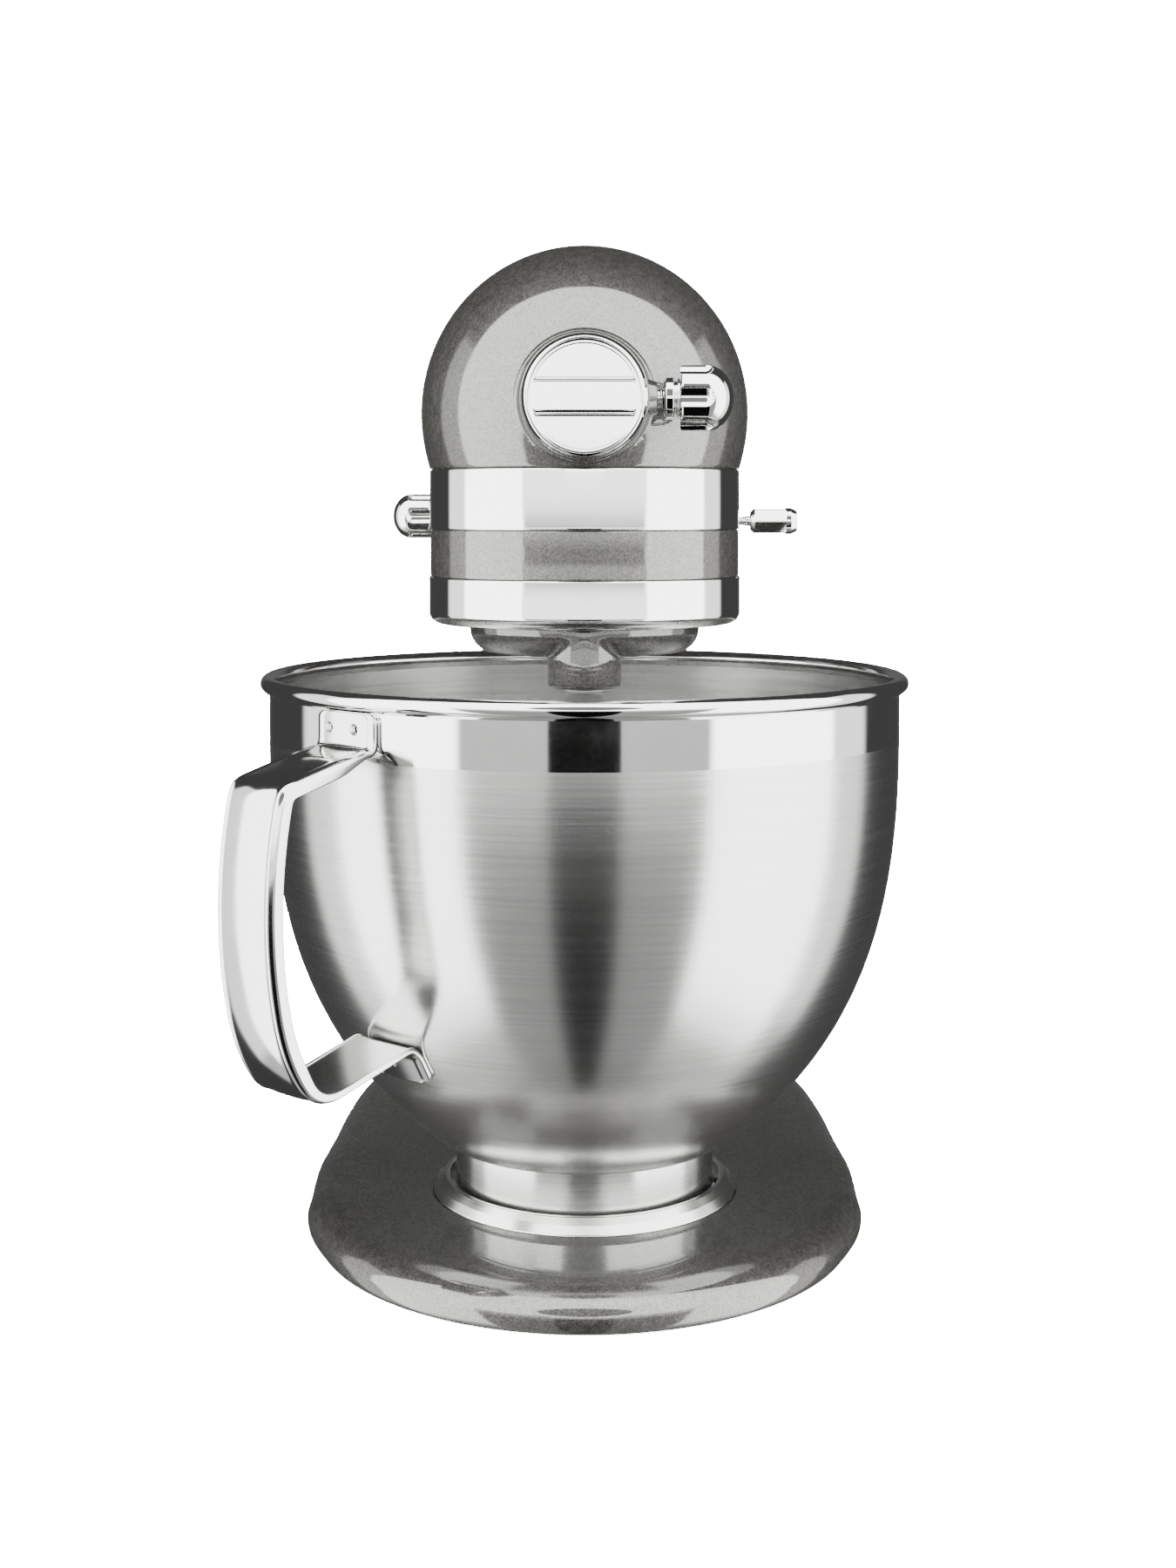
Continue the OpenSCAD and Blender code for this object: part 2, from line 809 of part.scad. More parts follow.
module planet_carrier() {
    color([0.50, 0.49, 0.46])
    difference() {
        union() {
            rotate_extrude($fn = 128)
                polygon(concat([[0, carrier_z]],
                    [for (a = [-90:10:0]) [carrier_r - 8 + 8 * cos(a), carrier_z + 8 + 8 * sin(a)]],
                    [[carrier_r, 226], [0, 226]]));
            post(0, 0, 225, 17, 10);
            translate([0, -orbit, 0])
                rotate_extrude()
                    polygon([[0, stem_z], [stem_r - 1.5, stem_z], [stem_r - 0.4, stem_z + 0.5],
                        [stem_r, stem_z + 1.6], [stem_r, carrier_z + 8], [0, carrier_z + 8]]);
        }
        post(0, 0, carrier_z + 1, 50, shaft_r);
        post(0, -orbit, stem_z - 5, 50, agitator_r + run);
    }
}

module agitator_shaft() {
    color([0.78, 0.78, 0.78])
    translate([0, -orbit, 0])
        difference() {
            rotate_extrude()
                polygon([[0, 158], [agitator_r - 1, 158], [agitator_r, 159], [agitator_r, 181],
                    [agitator_r - 0.7, 181.4], [agitator_r - 0.7, 182.6], [agitator_r, 183],
                    [agitator_r, gear_z + 9],
                    [0, gear_z + 9]]);
            along_x(-10, 0, pin_z, 20, 1.98);
        }
}

module agitator_pinion() {
    color([0.55, 0.55, 0.56])
    translate([0, -orbit, gear_z + 0.6])
        difference() {
            linear_extrude(6.8)
                polygon(gear(pinion_teeth, pinion_teeth * module_ring / 2, 0.8 * module_ring,
                    1.1 * module_ring, -90));
            post(0, 0, -1, 10, agitator_r);
        }
}

module agitator_washer() {
    color([0.75, 0.75, 0.76])
    difference() {
        post(0, -orbit, stem_z - 2.2, 1.9, 8.1);
        post(0, -orbit, stem_z - 5, 10, agitator_r);
    }
}

module beater_pin() {
    color([0.75, 0.75, 0.76])
    along_x(-8.5, -orbit, pin_z, 17, 1.95);
}

// ---------- attachment hub ----------

module hub_sleeve() {
    color([0.62, 0.63, 0.64])
    difference() {
        along_y(0, -72, hub_z, 42, 19.5);
        along_y(0, -75, hub_z, 37, 16.8);
        along_y(0, -40, hub_z, 20, 7 + run);
        along_x(10, knob_y, hub_z, 20, 3.6);
    }
}

module hub_drive_shaft() {
    color([0.75, 0.75, 0.76])
    difference() {
        union() {
            along_y(0, -55, hub_z, 32, 7);
            along_y(0, -24, hub_z, 9, 4.95);
        }
        block([-4.2, 4.2], [-56, -40], [hub_z - 4.2, hub_z + 4.2]);
    }
}

module hub_cap() {
    color([0.85, 0.85, 0.84])
    translate([0, hub_face, hub_z])
        rotate([90, 0, 0])
            difference() {
                union() {
                    rotate_extrude()
                        polygon([[0, 0], [20.2, 0], [20.2, 3.2], [19.6, 4.6], [18.4, 5.2],
                            [0, 5.2]]);
                    translate([0, 0, -11])
                        cylinder(h = 12, r = 16.4);
                }
                for (s = [-1, 1])
                    translate([0, 0, 3.2])
                        linear_extrude(3)
                            intersection() {
                                circle(r = 17.2);
                                translate([-20, s == 1 ? 4.4 : -24.4])
                                    square([40, 20]);
                            }
                translate([0, 0, -12])
                    cylinder(h = 12, r = 14.5);
            }
}

module knob_collar() {
    color([0.85, 0.85, 0.84])
    difference() {
        along_x(25.6, knob_y, hub_z, 5.3, 6.85);
        along_x(20, knob_y, hub_z, 20, 3.35 + run);
    }
}

// domed knob with flutes, pointing along +X from its flat back
module fluted_knob(length, r, flutes, flute_r) {
    rotate([0, 90, 0])
        difference() {
            rotate_extrude()
                polygon(concat([[0, 0], [r - 0.6, 0], [r, 0.6]],
                    [for (a = [0:9:90]) [r * cos(a), length - r * 0.75 + r * 0.75 * sin(a)]]));
            for (i = [0:flutes - 1])
                rotate([0, 0, (i + 0.5) * 360 / flutes])
                    translate([r + flute_r * 0.62, 0, -1])
                        cylinder(h = length * 0.62 + 1, r = flute_r);
        }
}

module attachment_knob() {
    color([0.85, 0.85, 0.84])
    translate([0, knob_y, hub_z])
        union() {
            along_x(17.2, 0, 0, 15, 3.35);
            translate([31, 0, 0])
                fluted_knob(17.5, 10.75, 6, 4.2);
        }
}

// ---------- levers ----------

module speed_lever() {
    color([0.75, 0.75, 0.76])
    difference() {
        union() {
            post(lever_x, lever_y, 245.8, 5.4, 5.5);
            block([lever_x - crank - 2, lever_x], [lever_y - 2, lever_y + 2], [245.8, 248]);
            post(lever_x - crank, lever_y, 247, 4.2, 1.5);
            along_x(lever_x + 4, lever_y, lever_z, 42, 1.5);
        }
        post(lever_x, lever_y, 240, 20, 3);
    }
}

module speed_knob() {
    color([0.85, 0.85, 0.84])
    translate([67, lever_y, lever_z])
        difference() {
            rotate([0, 90, 0])
                rotate_extrude()
                    polygon([[0, 0], [3.4, 0], [5.3, 1.6], [5.3, 17], [4.3, 18.7], [0, 18.7]]);
            along_x(-1, 0, 0, 6, 1.55);
            for (a = [0:60:300])
                rotate([a, 0, 0])
                    block([3, 13], [4.9, 8], [-6, 6]);
        }
}

module speed_link() {
    color([0.75, 0.75, 0.76])
    difference() {
        block([lever_x - crank - 4, lever_x - crank + 6], [lever_y - 6, 186], [248.6, 250.6]);
        block([lever_x - crank - 1.9, lever_x - crank + 4.4], [lever_y - 2.4, lever_y + 2.4],
            [248, 252]);
    }
}

module lock_bar() {
    color([0.75, 0.75, 0.76])
    union() {
        along_x(-66, lever_y, lock_z, 44, 3);
        block([lock_x - 5, lock_x + 5], [lever_y - 5, lever_y + 5], [236.5, 254]);
        along_y(lock_x, lever_y, lock_pin_z, 12, 3.5);
    }
}

module lock_knob() {
    color([0.85, 0.85, 0.84])
    translate([-61.8, lever_y, lock_z])
        difference() {
            mirror([1, 0, 0])
                fluted_knob(15.4, 8.8, 6, 3.4);
            along_x(-4.3, 0, 0, 8, 3.05);
        }
}

module control_board() {
    color([0.10, 0.30, 0.16])
    union() {
        block([-28, 28], [200, 201.6], [256, 312]);
        block([-20, 4], [201.5, 212], [288, 306]);
        post(18, 207, 262, 20, 6);
        block([-26, -12], [193, 200.1], [262, 276]);
    }
}

module cord_gland() {
    color([0.10, 0.10, 0.10])
    difference() {
        union() {
            along_y(gland_x, 217, 240, 14, 4);
            along_y(gland_x, 219, 240, 2.4, 5.4);
        }
        along_y(gland_x, 223, 240, 12, 2.4);
    }
}

base_casting();
column_casting();
rubber_feet();
column_bolts();
bowl_clamp_plate();
clamp_plate_screws();
hinge_pin();
hinge_set_screw();
height_adjust_screw();
bowl_shell();
bowl_foot();
bowl_handle();
upper_housing();
gear_case();
trim_band();
band_screws();
drip_ring();
rear_cover();
rear_cover_screw();
brush_caps();
brush_holders();
carbon_brushes();
field_core();
field_coils();
motor_bracket();
rear_bracket();
motor_bearings();
gear_bracket();
internal_gear();
shaft_bushes();
hub_sleeve();
control_board();
cord_gland();
planet_carrier();
vertical_shaft();
main_spur_gear();
centre_bevel_gear();
agitator_shaft();
agitator_pinion();
agitator_washer();
beater_pin();
idler_shaft();
worm_wheel();
idler_pinion();
armature_shaft();
armature_core();
commutator();
cooling_fan();
hub_drive_shaft();
hub_bevel_gear();
hub_cap();
knob_collar();
attachment_knob();
speed_lever();
speed_knob();
speed_link();
lock_bar();
lock_knob();
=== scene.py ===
"""Looks of a tilt-head stand mixer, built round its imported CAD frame.

Shapes are written in millimetres and made in metres. The bowl's axis is Z, the front faces -Y,
and Z is 0 on the table.
"""
import json
import math

import bmesh
import bpy
import numpy as np
from mathutils import Matrix, Vector


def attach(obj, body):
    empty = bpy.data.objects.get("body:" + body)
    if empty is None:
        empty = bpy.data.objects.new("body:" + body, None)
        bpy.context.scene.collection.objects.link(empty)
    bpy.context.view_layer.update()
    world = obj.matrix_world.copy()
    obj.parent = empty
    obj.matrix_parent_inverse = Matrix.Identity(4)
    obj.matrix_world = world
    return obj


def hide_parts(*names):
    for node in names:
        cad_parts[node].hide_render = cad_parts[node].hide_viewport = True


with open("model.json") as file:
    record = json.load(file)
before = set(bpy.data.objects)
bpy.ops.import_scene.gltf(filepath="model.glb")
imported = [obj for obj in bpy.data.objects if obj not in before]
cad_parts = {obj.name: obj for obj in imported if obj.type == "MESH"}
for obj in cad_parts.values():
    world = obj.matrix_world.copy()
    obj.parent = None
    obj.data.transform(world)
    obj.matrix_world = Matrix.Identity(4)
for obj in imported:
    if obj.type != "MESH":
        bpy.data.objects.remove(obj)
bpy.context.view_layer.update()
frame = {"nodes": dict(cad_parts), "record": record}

MM = 0.001
STEPS = 192
scene = bpy.context.scene

# ---------- sizes, as in the CAD source except the handle's turn and the stem's oval
RIM_R = 114
RIM_Z = 196.5
FOOT_R = 45.4
BOWL_WALL = 1.0
BOWL_TOP = 190.4
BOWL_DEEP = 176.7
BOWL_WIDE = RIM_R - 3.2
BOWL_FLOOR = 33.2
POLISHED_Z = 174.6
HANDLE_TURN = 42.3
HANDLE_W = 27
BASE_R = 98
BASE_SIDE = 101.5
BASE_BACK = 215
BASE_Z = 14.4
NECK_W = 44
NECK_FRONT = 119
NECK_BACK = 196
BAND_R = 54.8
DOME_R = 57.9
SWELL = 3.6
CASE_Z = 230.5
BAND_Z = 247
DOME_Z = 268.2
FULL_Z = 288
CROWN_FRONT = 59.5
CROWN_RISE = 4
SIDE_Y = 80
BACK_Y = 240
WALL = 3
HINGE_Y = 160
HINGE_Z = 215
ORBIT = 27
CARRIER_R = 40.6
CARRIER_Z = 203.8
CARRIER_TOP = 226
CARRIER_EDGE = 8.0
STEM_R = 12.6
STEM_Z = 193.4
STEM_OVAL = 0.9
SHAFT_R = 6.15
PIN_Z = 186.5
HUB_Z = 290.4
HUB_FACE = -72
BOSS_R = 20.9
KNOB_Y = -63
MOTOR_Z = 291
LEVER_Y = 100
LEVER_Z = 249
LOCK_Z = 251
LOCK_X = -22
LOCK_PIN_Z = 240
SEAT_Z = 10.6
FEET = [(0, -80), (74, -14), (-74, -14), (60, 176), (-60, 176)]
BOLTS = [(-36, 115), (-36, 180), (36, 115), (36, 180)]
CLAMP_SCREWS = [(30 * math.cos(a), 30 * math.sin(a)) for a in map(math.radians, (30, 150, 270))]
BAND_SCREWS = (-9, 9)
BAND_SCREW_Z = 257.6
BRUSH_Y = 155


# ---------- mesh helpers
def cosd(degrees):
    return math.cos(math.radians(degrees))


def sind(degrees):
    return math.sin(math.radians(degrees))


def in_scene(name, data):
    thing = bpy.data.objects.new(name, data)
    scene.collection.objects.link(thing)
    return thing


def new_object(name, verts, faces):
    mesh = bpy.data.meshes.new(name)
    mesh.from_pydata([Vector(v) * MM for v in verts], [], faces)
    mesh.update()
    piece = in_scene(name, mesh)
    bm = bmesh.new()
    bm.from_mesh(mesh)
    bmesh.ops.recalc_face_normals(bm, faces=bm.faces)
    bm.to_mesh(mesh)
    bm.free()
    return piece


def apply_modifiers(piece):
    graph = bpy.context.evaluated_depsgraph_get()
    made = bpy.data.meshes.new_from_object(piece.evaluated_get(graph))
    old = piece.data
    piece.modifiers.clear()
    piece.data = made
    bpy.data.meshes.remove(old)
    made.name = piece.name
    return piece


def discard(pieces):
    for piece in pieces:
        mesh = piece.data
        bpy.data.objects.remove(piece)
        bpy.data.meshes.remove(mesh)


def combine(piece, others, operation):
    for other in others:
        step = piece.modifiers.new("combine", "BOOLEAN")
        step.operation = operation
        step.solver = "MANIFOLD"
        step.object = other
    apply_modifiers(piece)
    discard(others)
    return piece


def cut(piece, *others):
    return combine(piece, others, "DIFFERENCE")


def add(piece, *others):
    return combine(piece, others, "UNION")


def keep(piece, *others):
    return combine(piece, others, "INTERSECT")


def bevel(piece, width, segments=3, angle=40):
    step = piece.modifiers.new("edges", "BEVEL")
    step.width = width * MM
    step.segments = segments
    step.limit_method = "ANGLE"
    step.angle_limit = math.radians(angle)
    step.miter_outer = "MITER_ARC"
    step.harden_normals = False
    return apply_modifiers(piece)


def place(piece, move=(0, 0, 0), turn=None):
    matrix = Matrix.Translation(Vector(move) * MM)
    if turn:
        matrix = matrix @ Matrix.Rotation(math.radians(turn[0]), 4, turn[1])
    piece.data.transform(matrix)
    return piece


def ring_faces(count, a, b):
    return [(a + i, a + (i + 1) % count, b + (i + 1) % count, b + i) for i in range(count)]


def loft(name, rings, around=False):
    """Solid through rings of equal length, with flat ends, or joined end to start."""
    count = len(rings[0])
    verts = [p for ring in rings for p in ring]
    faces = []
    for j in range(len(rings) - 1):
        faces += ring_faces(count, j * count, (j + 1) * count)
    if around:
        faces += ring_faces(count, (len(rings) - 1) * count, 0)
    else:
        faces.append(tuple(range(count)))
        faces.append(tuple(range((len(rings) - 1) * count, len(rings) * count)))
    return new_object(name, verts, faces)


def revolve(name, profile, steps=STEPS, start=0.0, sweep=360.0):
    """Solid turned from a closed profile of (radius, height)."""
    whole = sweep == 360.0
    columns = steps if whole else steps + 1
    verts = []
    rows = []
    for r, z in profile:
        if r < 1e-6:
            rows.append([len(verts)] * columns)
            verts.append((0, 0, z))
            continue
        rows.append(list(range(len(verts), len(verts) + columns)))
        for i in range(columns):
            a = math.radians(start + sweep * i / steps)
            verts.append((r * math.cos(a), r * math.sin(a), z))
    faces = []
    for j in range(len(rows)):
        low = rows[j]
        high = rows[(j + 1) % len(rows)]
        for i in range(steps):
            k = (i + 1) % columns
            face = list(dict.fromkeys((low[i], low[k], high[k], high[i])))
            if len(face) > 2:
                faces.append(face)
    if not whole:
        faces.append([row[0] for row in rows])
        faces.append([row[-1] for row in reversed(rows)])
    return new_object(name, verts, faces)


def rounded(points, steps=6):
    """Closed profile of (radius, height, rounding) with each rounding turned into an arc."""
    count = len(points)
    made = []
    for i, (x, y, size) in enumerate(points):
        here = Vector((x, y))
        before = Vector(points[i - 1][:2]) - here
        after = Vector(points[(i + 1) % count][:2]) - here
        if size <= 0 or before.length < 1e-6 or after.length < 1e-6:
            made.append((x, y))
            continue
        a = before.normalized()
        b = after.normalized()
        half = math.acos(max(-1, min(1, a.dot(b)))) / 2
        if half > 1.56 or half < 0.02:
            made.append((x, y))
            continue
        reach = min(size / math.tan(half), before.length * 0.48, after.length * 0.48)
        radius = reach * math.tan(half)
        centre = here + (a + b).normalized() * (radius / math.sin(half))
        first = here + a * reach - centre
        turn = math.pi - 2 * half
        side = 1 if a.cross(b) < 0 else -1
        for k in range(steps + 1):
            angle = side * turn * k / steps
            c = math.cos(angle)
            s = math.sin(angle)
            made.append((centre.x + first.x * c - first.y * s,
                         centre.y + first.x * s + first.y * c))
    return made


def arc(cx, cy, radius, start, end, steps):
    return [(cx + radius * cosd(start + (end - start) * i / steps),
             cy + radius * sind(start + (end - start) * i / steps))
            for i in range(steps + 1)]


def block(x, y, z):
    verts = [(a, b, c) for c in z for b in y for a in x]
    faces = [(0, 2, 3, 1), (4, 5, 7, 6), (0, 1, 5, 4), (2, 6, 7, 3), (0, 4, 6, 2), (1, 3, 7, 5)]
    return new_object("cutter", verts, faces)


def prism(points, x0, x1):
    """Solid with an outline of (y, z) points, between two x values."""
    return loft("cutter", [[(x, y, z) for y, z in points] for x in (x0, x1)])


def turned(profile, axis, move, steps=64, name="cutter"):
    """Turned solid laid along an axis: X, -X, Y, -Y or Z."""
    piece = revolve(name, profile, steps)
    turns = {"X": (90, "Y"), "-X": (-90, "Y"), "Y": (-90, "X"), "-Y": (90, "X"), "Z": None}
    return place(piece, move, turns[axis])


def rod(radius, length, axis, move, edge=0.0, steps=64):
    return turned(rounded([(0, 0, 0), (radius, 0, edge), (radius, length, edge), (0, length, 0)]),
                  axis, move, steps)


def join(name, *parts):
    bm = bmesh.new()
    for part in parts:
        bm.from_mesh(part.data)
    mesh = bpy.data.meshes.new(name)
    bm.to_mesh(mesh)
    bm.free()
    discard(parts)
    return in_scene(name, mesh)


def finish_piece(piece, name, node, body, slot, sharp=32, materials=None):
    """Names a piece, smooths it, gives it its materials and puts it on its CAD body."""
    piece.name = name
    piece.data.name = name
    bm = bmesh.new()
    bm.from_mesh(piece.data)
    bmesh.ops.remove_doubles(bm, verts=bm.verts, dist=1e-7)
    bmesh.ops.recalc_face_normals(bm, faces=bm.faces)
    bm.to_mesh(piece.data)
    bm.free()
    piece.data.materials.clear()
    for material in materials or [SLOT_MATERIAL[slot]]:
        piece.data.materials.append(material)
    piece.data.shade_smooth()
    piece.data.set_sharp_from_angle(angle=math.radians(sharp))
    weigh = piece.modifiers.new("normals", "WEIGHTED_NORMAL")
    weigh.mode = "FACE_AREA"
    weigh.weight = 100
    weigh.keep_sharp = True
    apply_modifiers(piece)
    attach(piece, body)
    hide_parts(node)


# ---------- outlines of the castings
def smooth(t):
    t = min(1.0, max(0.0, t))
    return t * t * (3 - 2 * t)


def plan(front, side, side_y, back, square):
    """Closed outline seen from above: round front, slightly wider sides and a squarish back."""
    half = []
    for i in range(40):
        a = math.pi / 2 * i / 40
        half.append((front * math.sin(a), -front * math.cos(a)))
    for i in range(14):
        t = i / 14
        half.append((front + (side - front) * smooth(t), side_y * t))
    for i in range(41):
        a = math.pi / 2 * i / 40
        c = max(0.0, math.cos(a))
        half.append((side * c ** (2 / square),
                     side_y + (back - side_y) * math.sin(a) ** (2 / square)))
    half[-1] = (0.0, back)
    return half + [(-x, y) for x, y in reversed(half[1:-1])]


def at_z(outline, z):
    return [(x, y, z) for x, y in outline]


def head_ring(z, r):
    return at_z(plan(r, r + SWELL, SIDE_Y, BACK_Y - (DOME_R - r) - (FULL_Z - z) * 0.12, 2.5), z)


def dome_ring(lift, t):
    c = cosd(lift)
    r = (DOME_R - t) * c
    outline = plan(r, r + SWELL * c, SIDE_Y, SIDE_Y + (BACK_Y - t - SIDE_Y) * c ** 0.8, 2.5)
    return [(x, y, FULL_Z + (CROWN_FRONT - t + CROWN_RISE * smooth(y / 60))
             * sind(lift)) for x, y in outline]


def bulge(z):
    return DOME_R - (DOME_R - BAND_R) * ((FULL_Z - z) / (FULL_Z - DOME_Z)) ** 2


def base_plan(front, side, back):
    """Base outline: slightly pointed front and narrower back than the CAD, as photographed."""
    shaped = []
    for x, y in plan(front, side, 50, back, 3):
        if y < 0:
            turn = math.atan2(abs(x), -y)
            swell = 1 + 0.028 * math.cos(2.2 * turn) * smooth((math.pi / 2 - turn) / 0.44)
            x *= swell
            y *= swell
        else:
            draw = 3.8 * smooth((y - 5) / 75) * (1 - smooth((y - 100) / 110))
            x *= 1 - draw / BASE_SIDE
        shaped.append((x, y))
    return shaped


def base_ring(lift, t):
    """Rounded edge of the base, from its widest line (0) to the nearly flat top (82)."""
    g = 1 - cosd(lift)
    z = 5 - t * 0.4 + (8.4 - t * 0.6) * sind(lift)
    return at_z(base_plan(BASE_R - t - 11.5 * g, BASE_SIDE - t - 11 * g, BASE_BACK - t - 8 * g), z)


def base_crown(k, t):
    """Nearly flat top of the base, from its rounded edge (0) to the level middle (1)."""
    front = 9.9 + 34.1 * k
    side = 9.5 + 16.5 * k
    back = 6.9 + 2.1 * k
    z = 13.32 + (BASE_Z - 13.32) * sind(90 * k) - t
    return at_z(base_plan(BASE_R - t - front, BASE_SIDE - t - side, BASE_BACK - t - back), z)


def column_ring(z, t):
    f = math.exp((BASE_Z - z) / 25)
    foot = max(0.0, (18.4 - z) / 4) ** 2 * 3
    w = NECK_W - t + 27 * f + foot
    y0 = NECK_FRONT + t - 61 * f - foot
    y1 = NECK_BACK - t + 8 * f + foot * 0.5
    ring = []
    for i in range(192):
        a = 2 * math.pi * i / 192 - math.pi / 2
        c = math.cos(a)
        s = math.sin(a)
        x = w * math.copysign(abs(c) ** (2 / 2.7), c)
        y = (y0 + y1) / 2 + (y1 - y0) / 2 * math.copysign(abs(s) ** (2 / 2.7), s)
        ring.append((x, y, z))
    return ring


# ---------- material helpers
def add_node(tree, kind, values):
    """New shader node, its inputs set to plain values or joined to other nodes."""
    node = tree.nodes.new("ShaderNode" + kind)
    for name, value in values.items():
        if isinstance(value, bpy.types.NodeSocket):
            tree.links.new(value, node.inputs[name])
        else:
            node.inputs[name].default_value = value
    return node


def socket_math(tree, kind, *values):
    node = add_node(tree, "Math", dict(enumerate(values)))
    node.operation = kind
    return node.outputs[0]


def remap(tree, value, a, b, low=0.0, high=1.0):
    node = add_node(tree, "MapRange", {"From Min": a, "From Max": b, "To Min": low,
                                       "To Max": high, "Value": value})
    node.interpolation_type = "SMOOTHSTEP"
    return node.outputs["Result"]


def noise(tree, vector, scale, detail=2.0, rough=0.5):
    node = add_node(tree, "TexNoise", {"Scale": scale, "Detail": detail, "Roughness": rough,
                                       "Vector": vector})
    return node.outputs["Fac"]


def stretched(tree, size=(1, 1, 1)):
    coords = tree.nodes.new("ShaderNodeTexCoord")
    values = {"Scale": size, "Vector": coords.outputs["Object"]}
    return add_node(tree, "Mapping", values).outputs["Vector"]


def bump(tree, height, distance, strength):
    values = {"Distance": distance, "Strength": strength, "Height": height}
    return add_node(tree, "Bump", values).outputs["Normal"]


def blend_colour(tree, factor, dark, light):
    node = tree.nodes.new("ShaderNodeMix")
    node.data_type = "RGBA"
    node.inputs["A"].default_value = (*dark, 1)
    node.inputs["B"].default_value = (*light, 1)
    tree.links.new(factor, node.inputs["Factor"])
    return node.outputs["Result"]


def new_material(name, metallic):
    material = bpy.data.materials.new(name)
    material.use_nodes = True
    tree = material.node_tree
    shader = tree.nodes["Principled BSDF"]
    shader.inputs["Metallic"].default_value = metallic
    shader.inputs["Specular IOR Level"].default_value = 0.5
    return material, tree, shader


def surface(tree, shader, colour, roughness, normal):
    tree.links.new(colour, shader.inputs["Base Color"])
    tree.links.new(roughness, shader.inputs["Roughness"])
    tree.links.new(normal, shader.inputs["Normal"])


# ---------- materials
def paint_material():
    material, tree, shader = new_material("silver_paint", 0.85)
    fine = stretched(tree)
    flake = add_node(tree, "TexVoronoi", {"Scale": 2300, "Vector": fine})
    split = add_node(tree, "SeparateColor", {"Color": flake.outputs["Color"]})
    sparkle = remap(tree, split.outputs["Red"], 0.1, 0.95)
    broad = noise(tree, fine, 420, 3, 0.6)
    mixed = socket_math(tree, "MULTIPLY_ADD", broad, 0.55, 0.0)
    factor = socket_math(tree, "MULTIPLY_ADD", sparkle, 0.55, mixed)
    surface(tree, shader, blend_colour(tree, factor, (0.03, 0.029, 0.0265), (0.155, 0.15, 0.137)),
            remap(tree, broad, 0.3, 0.7, 0.4, 0.52),
            bump(tree, split.outputs["Green"], 0.00004, 0.35))
    shader.inputs["Coat Weight"].default_value = 1.0
    shader.inputs["Coat Roughness"].default_value = 0.025
    shader.inputs["Coat IOR"].default_value = 2.1
    peel = bump(tree, noise(tree, fine, 260, 1), 0.000003, 0.3)
    tree.links.new(peel, shader.inputs["Coat Normal"])
    return material


def polished_material(name, colour, roughness, smear):
    material, tree, shader = new_material(name, 1.0)
    fine = stretched(tree)
    cloudy = noise(tree, fine, 38, 4, 0.6)
    darker = tuple(c * 0.95 for c in colour)
    surface(tree, shader, blend_colour(tree, cloudy, darker, colour),
            remap(tree, cloudy, 0.3, 0.75, roughness, roughness + smear),
            bump(tree, noise(tree, fine, 190, 2), 0.000003, 0.25))
    return material


def brushed_material(name, colour, roughness, grain, anisotropic, along="Z"):
    """Fine scratches running round the Z axis, or in every direction when along is None."""
    material, tree, shader = new_material(name, 1.0)
    lines = stretched(tree, (10, 10, 3200) if along else (900, 900, 900))
    coarse = stretched(tree, (16, 16, 900) if along else (60, 60, 60))
    scratch = noise(tree, lines, 1.0, 3, 0.65)
    sweep = noise(tree, coarse, 1.0, 2, 0.5)
    both = socket_math(tree, "MULTIPLY_ADD", sweep, 0.5, socket_math(tree, "MULTIPLY", scratch, 0.5))
    darker = tuple(c * 0.88 for c in colour)
    surface(tree, shader, blend_colour(tree, remap(tree, both, 0.25, 0.75), darker, colour),
            remap(tree, both, 0.25, 0.75, roughness * 0.93, roughness * 1.07),
            bump(tree, scratch, grain, 0.3))
    shader.inputs["Anisotropic"].default_value = anisotropic
    shader.inputs["Anisotropic Rotation"].default_value = 0.25
    if along:
        tangent = tree.nodes.new("ShaderNodeTangent")
        tangent.direction_type = "RADIAL"
        tangent.axis = along
        tree.links.new(tangent.outputs["Tangent"], shader.inputs["Tangent"])
    return material


def grainy_material(name, dark, light, roughness, scale, depth, metallic=0.0):
    material, tree, shader = new_material(name, metallic)
    fine = stretched(tree)
    grain = noise(tree, fine, scale, 4, 0.6)
    patch = noise(tree, fine, scale * 0.04, 2, 0.5)
    both = socket_math(tree, "MULTIPLY_ADD", grain, 0.6, socket_math(tree, "MULTIPLY", patch, 0.4))
    surface(tree, shader, blend_colour(tree, remap(tree, both, 0.3, 0.7), dark, light),
            remap(tree, both, 0.3, 0.7, roughness * 0.88, roughness * 1.12),
            bump(tree, grain, depth, 0.6))
    return material


def layered_material(name, metallic, layers, dark, light, roughness, depth):
    """Even layers or strands; layers is their direction, scale and waviness."""
    material, tree, shader = new_material(name, metallic)
    wave = add_node(tree, "TexWave", {"Scale": layers[1], "Distortion": layers[2],
                                      "Vector": stretched(tree)})
    wave.wave_type = "BANDS"
    wave.bands_direction = layers[0]
    strands = wave.outputs["Fac"]
    surface(tree, shader, blend_colour(tree, strands, dark, light),
            remap(tree, strands, 0, 1, *roughness), bump(tree, strands, *depth))
    return material


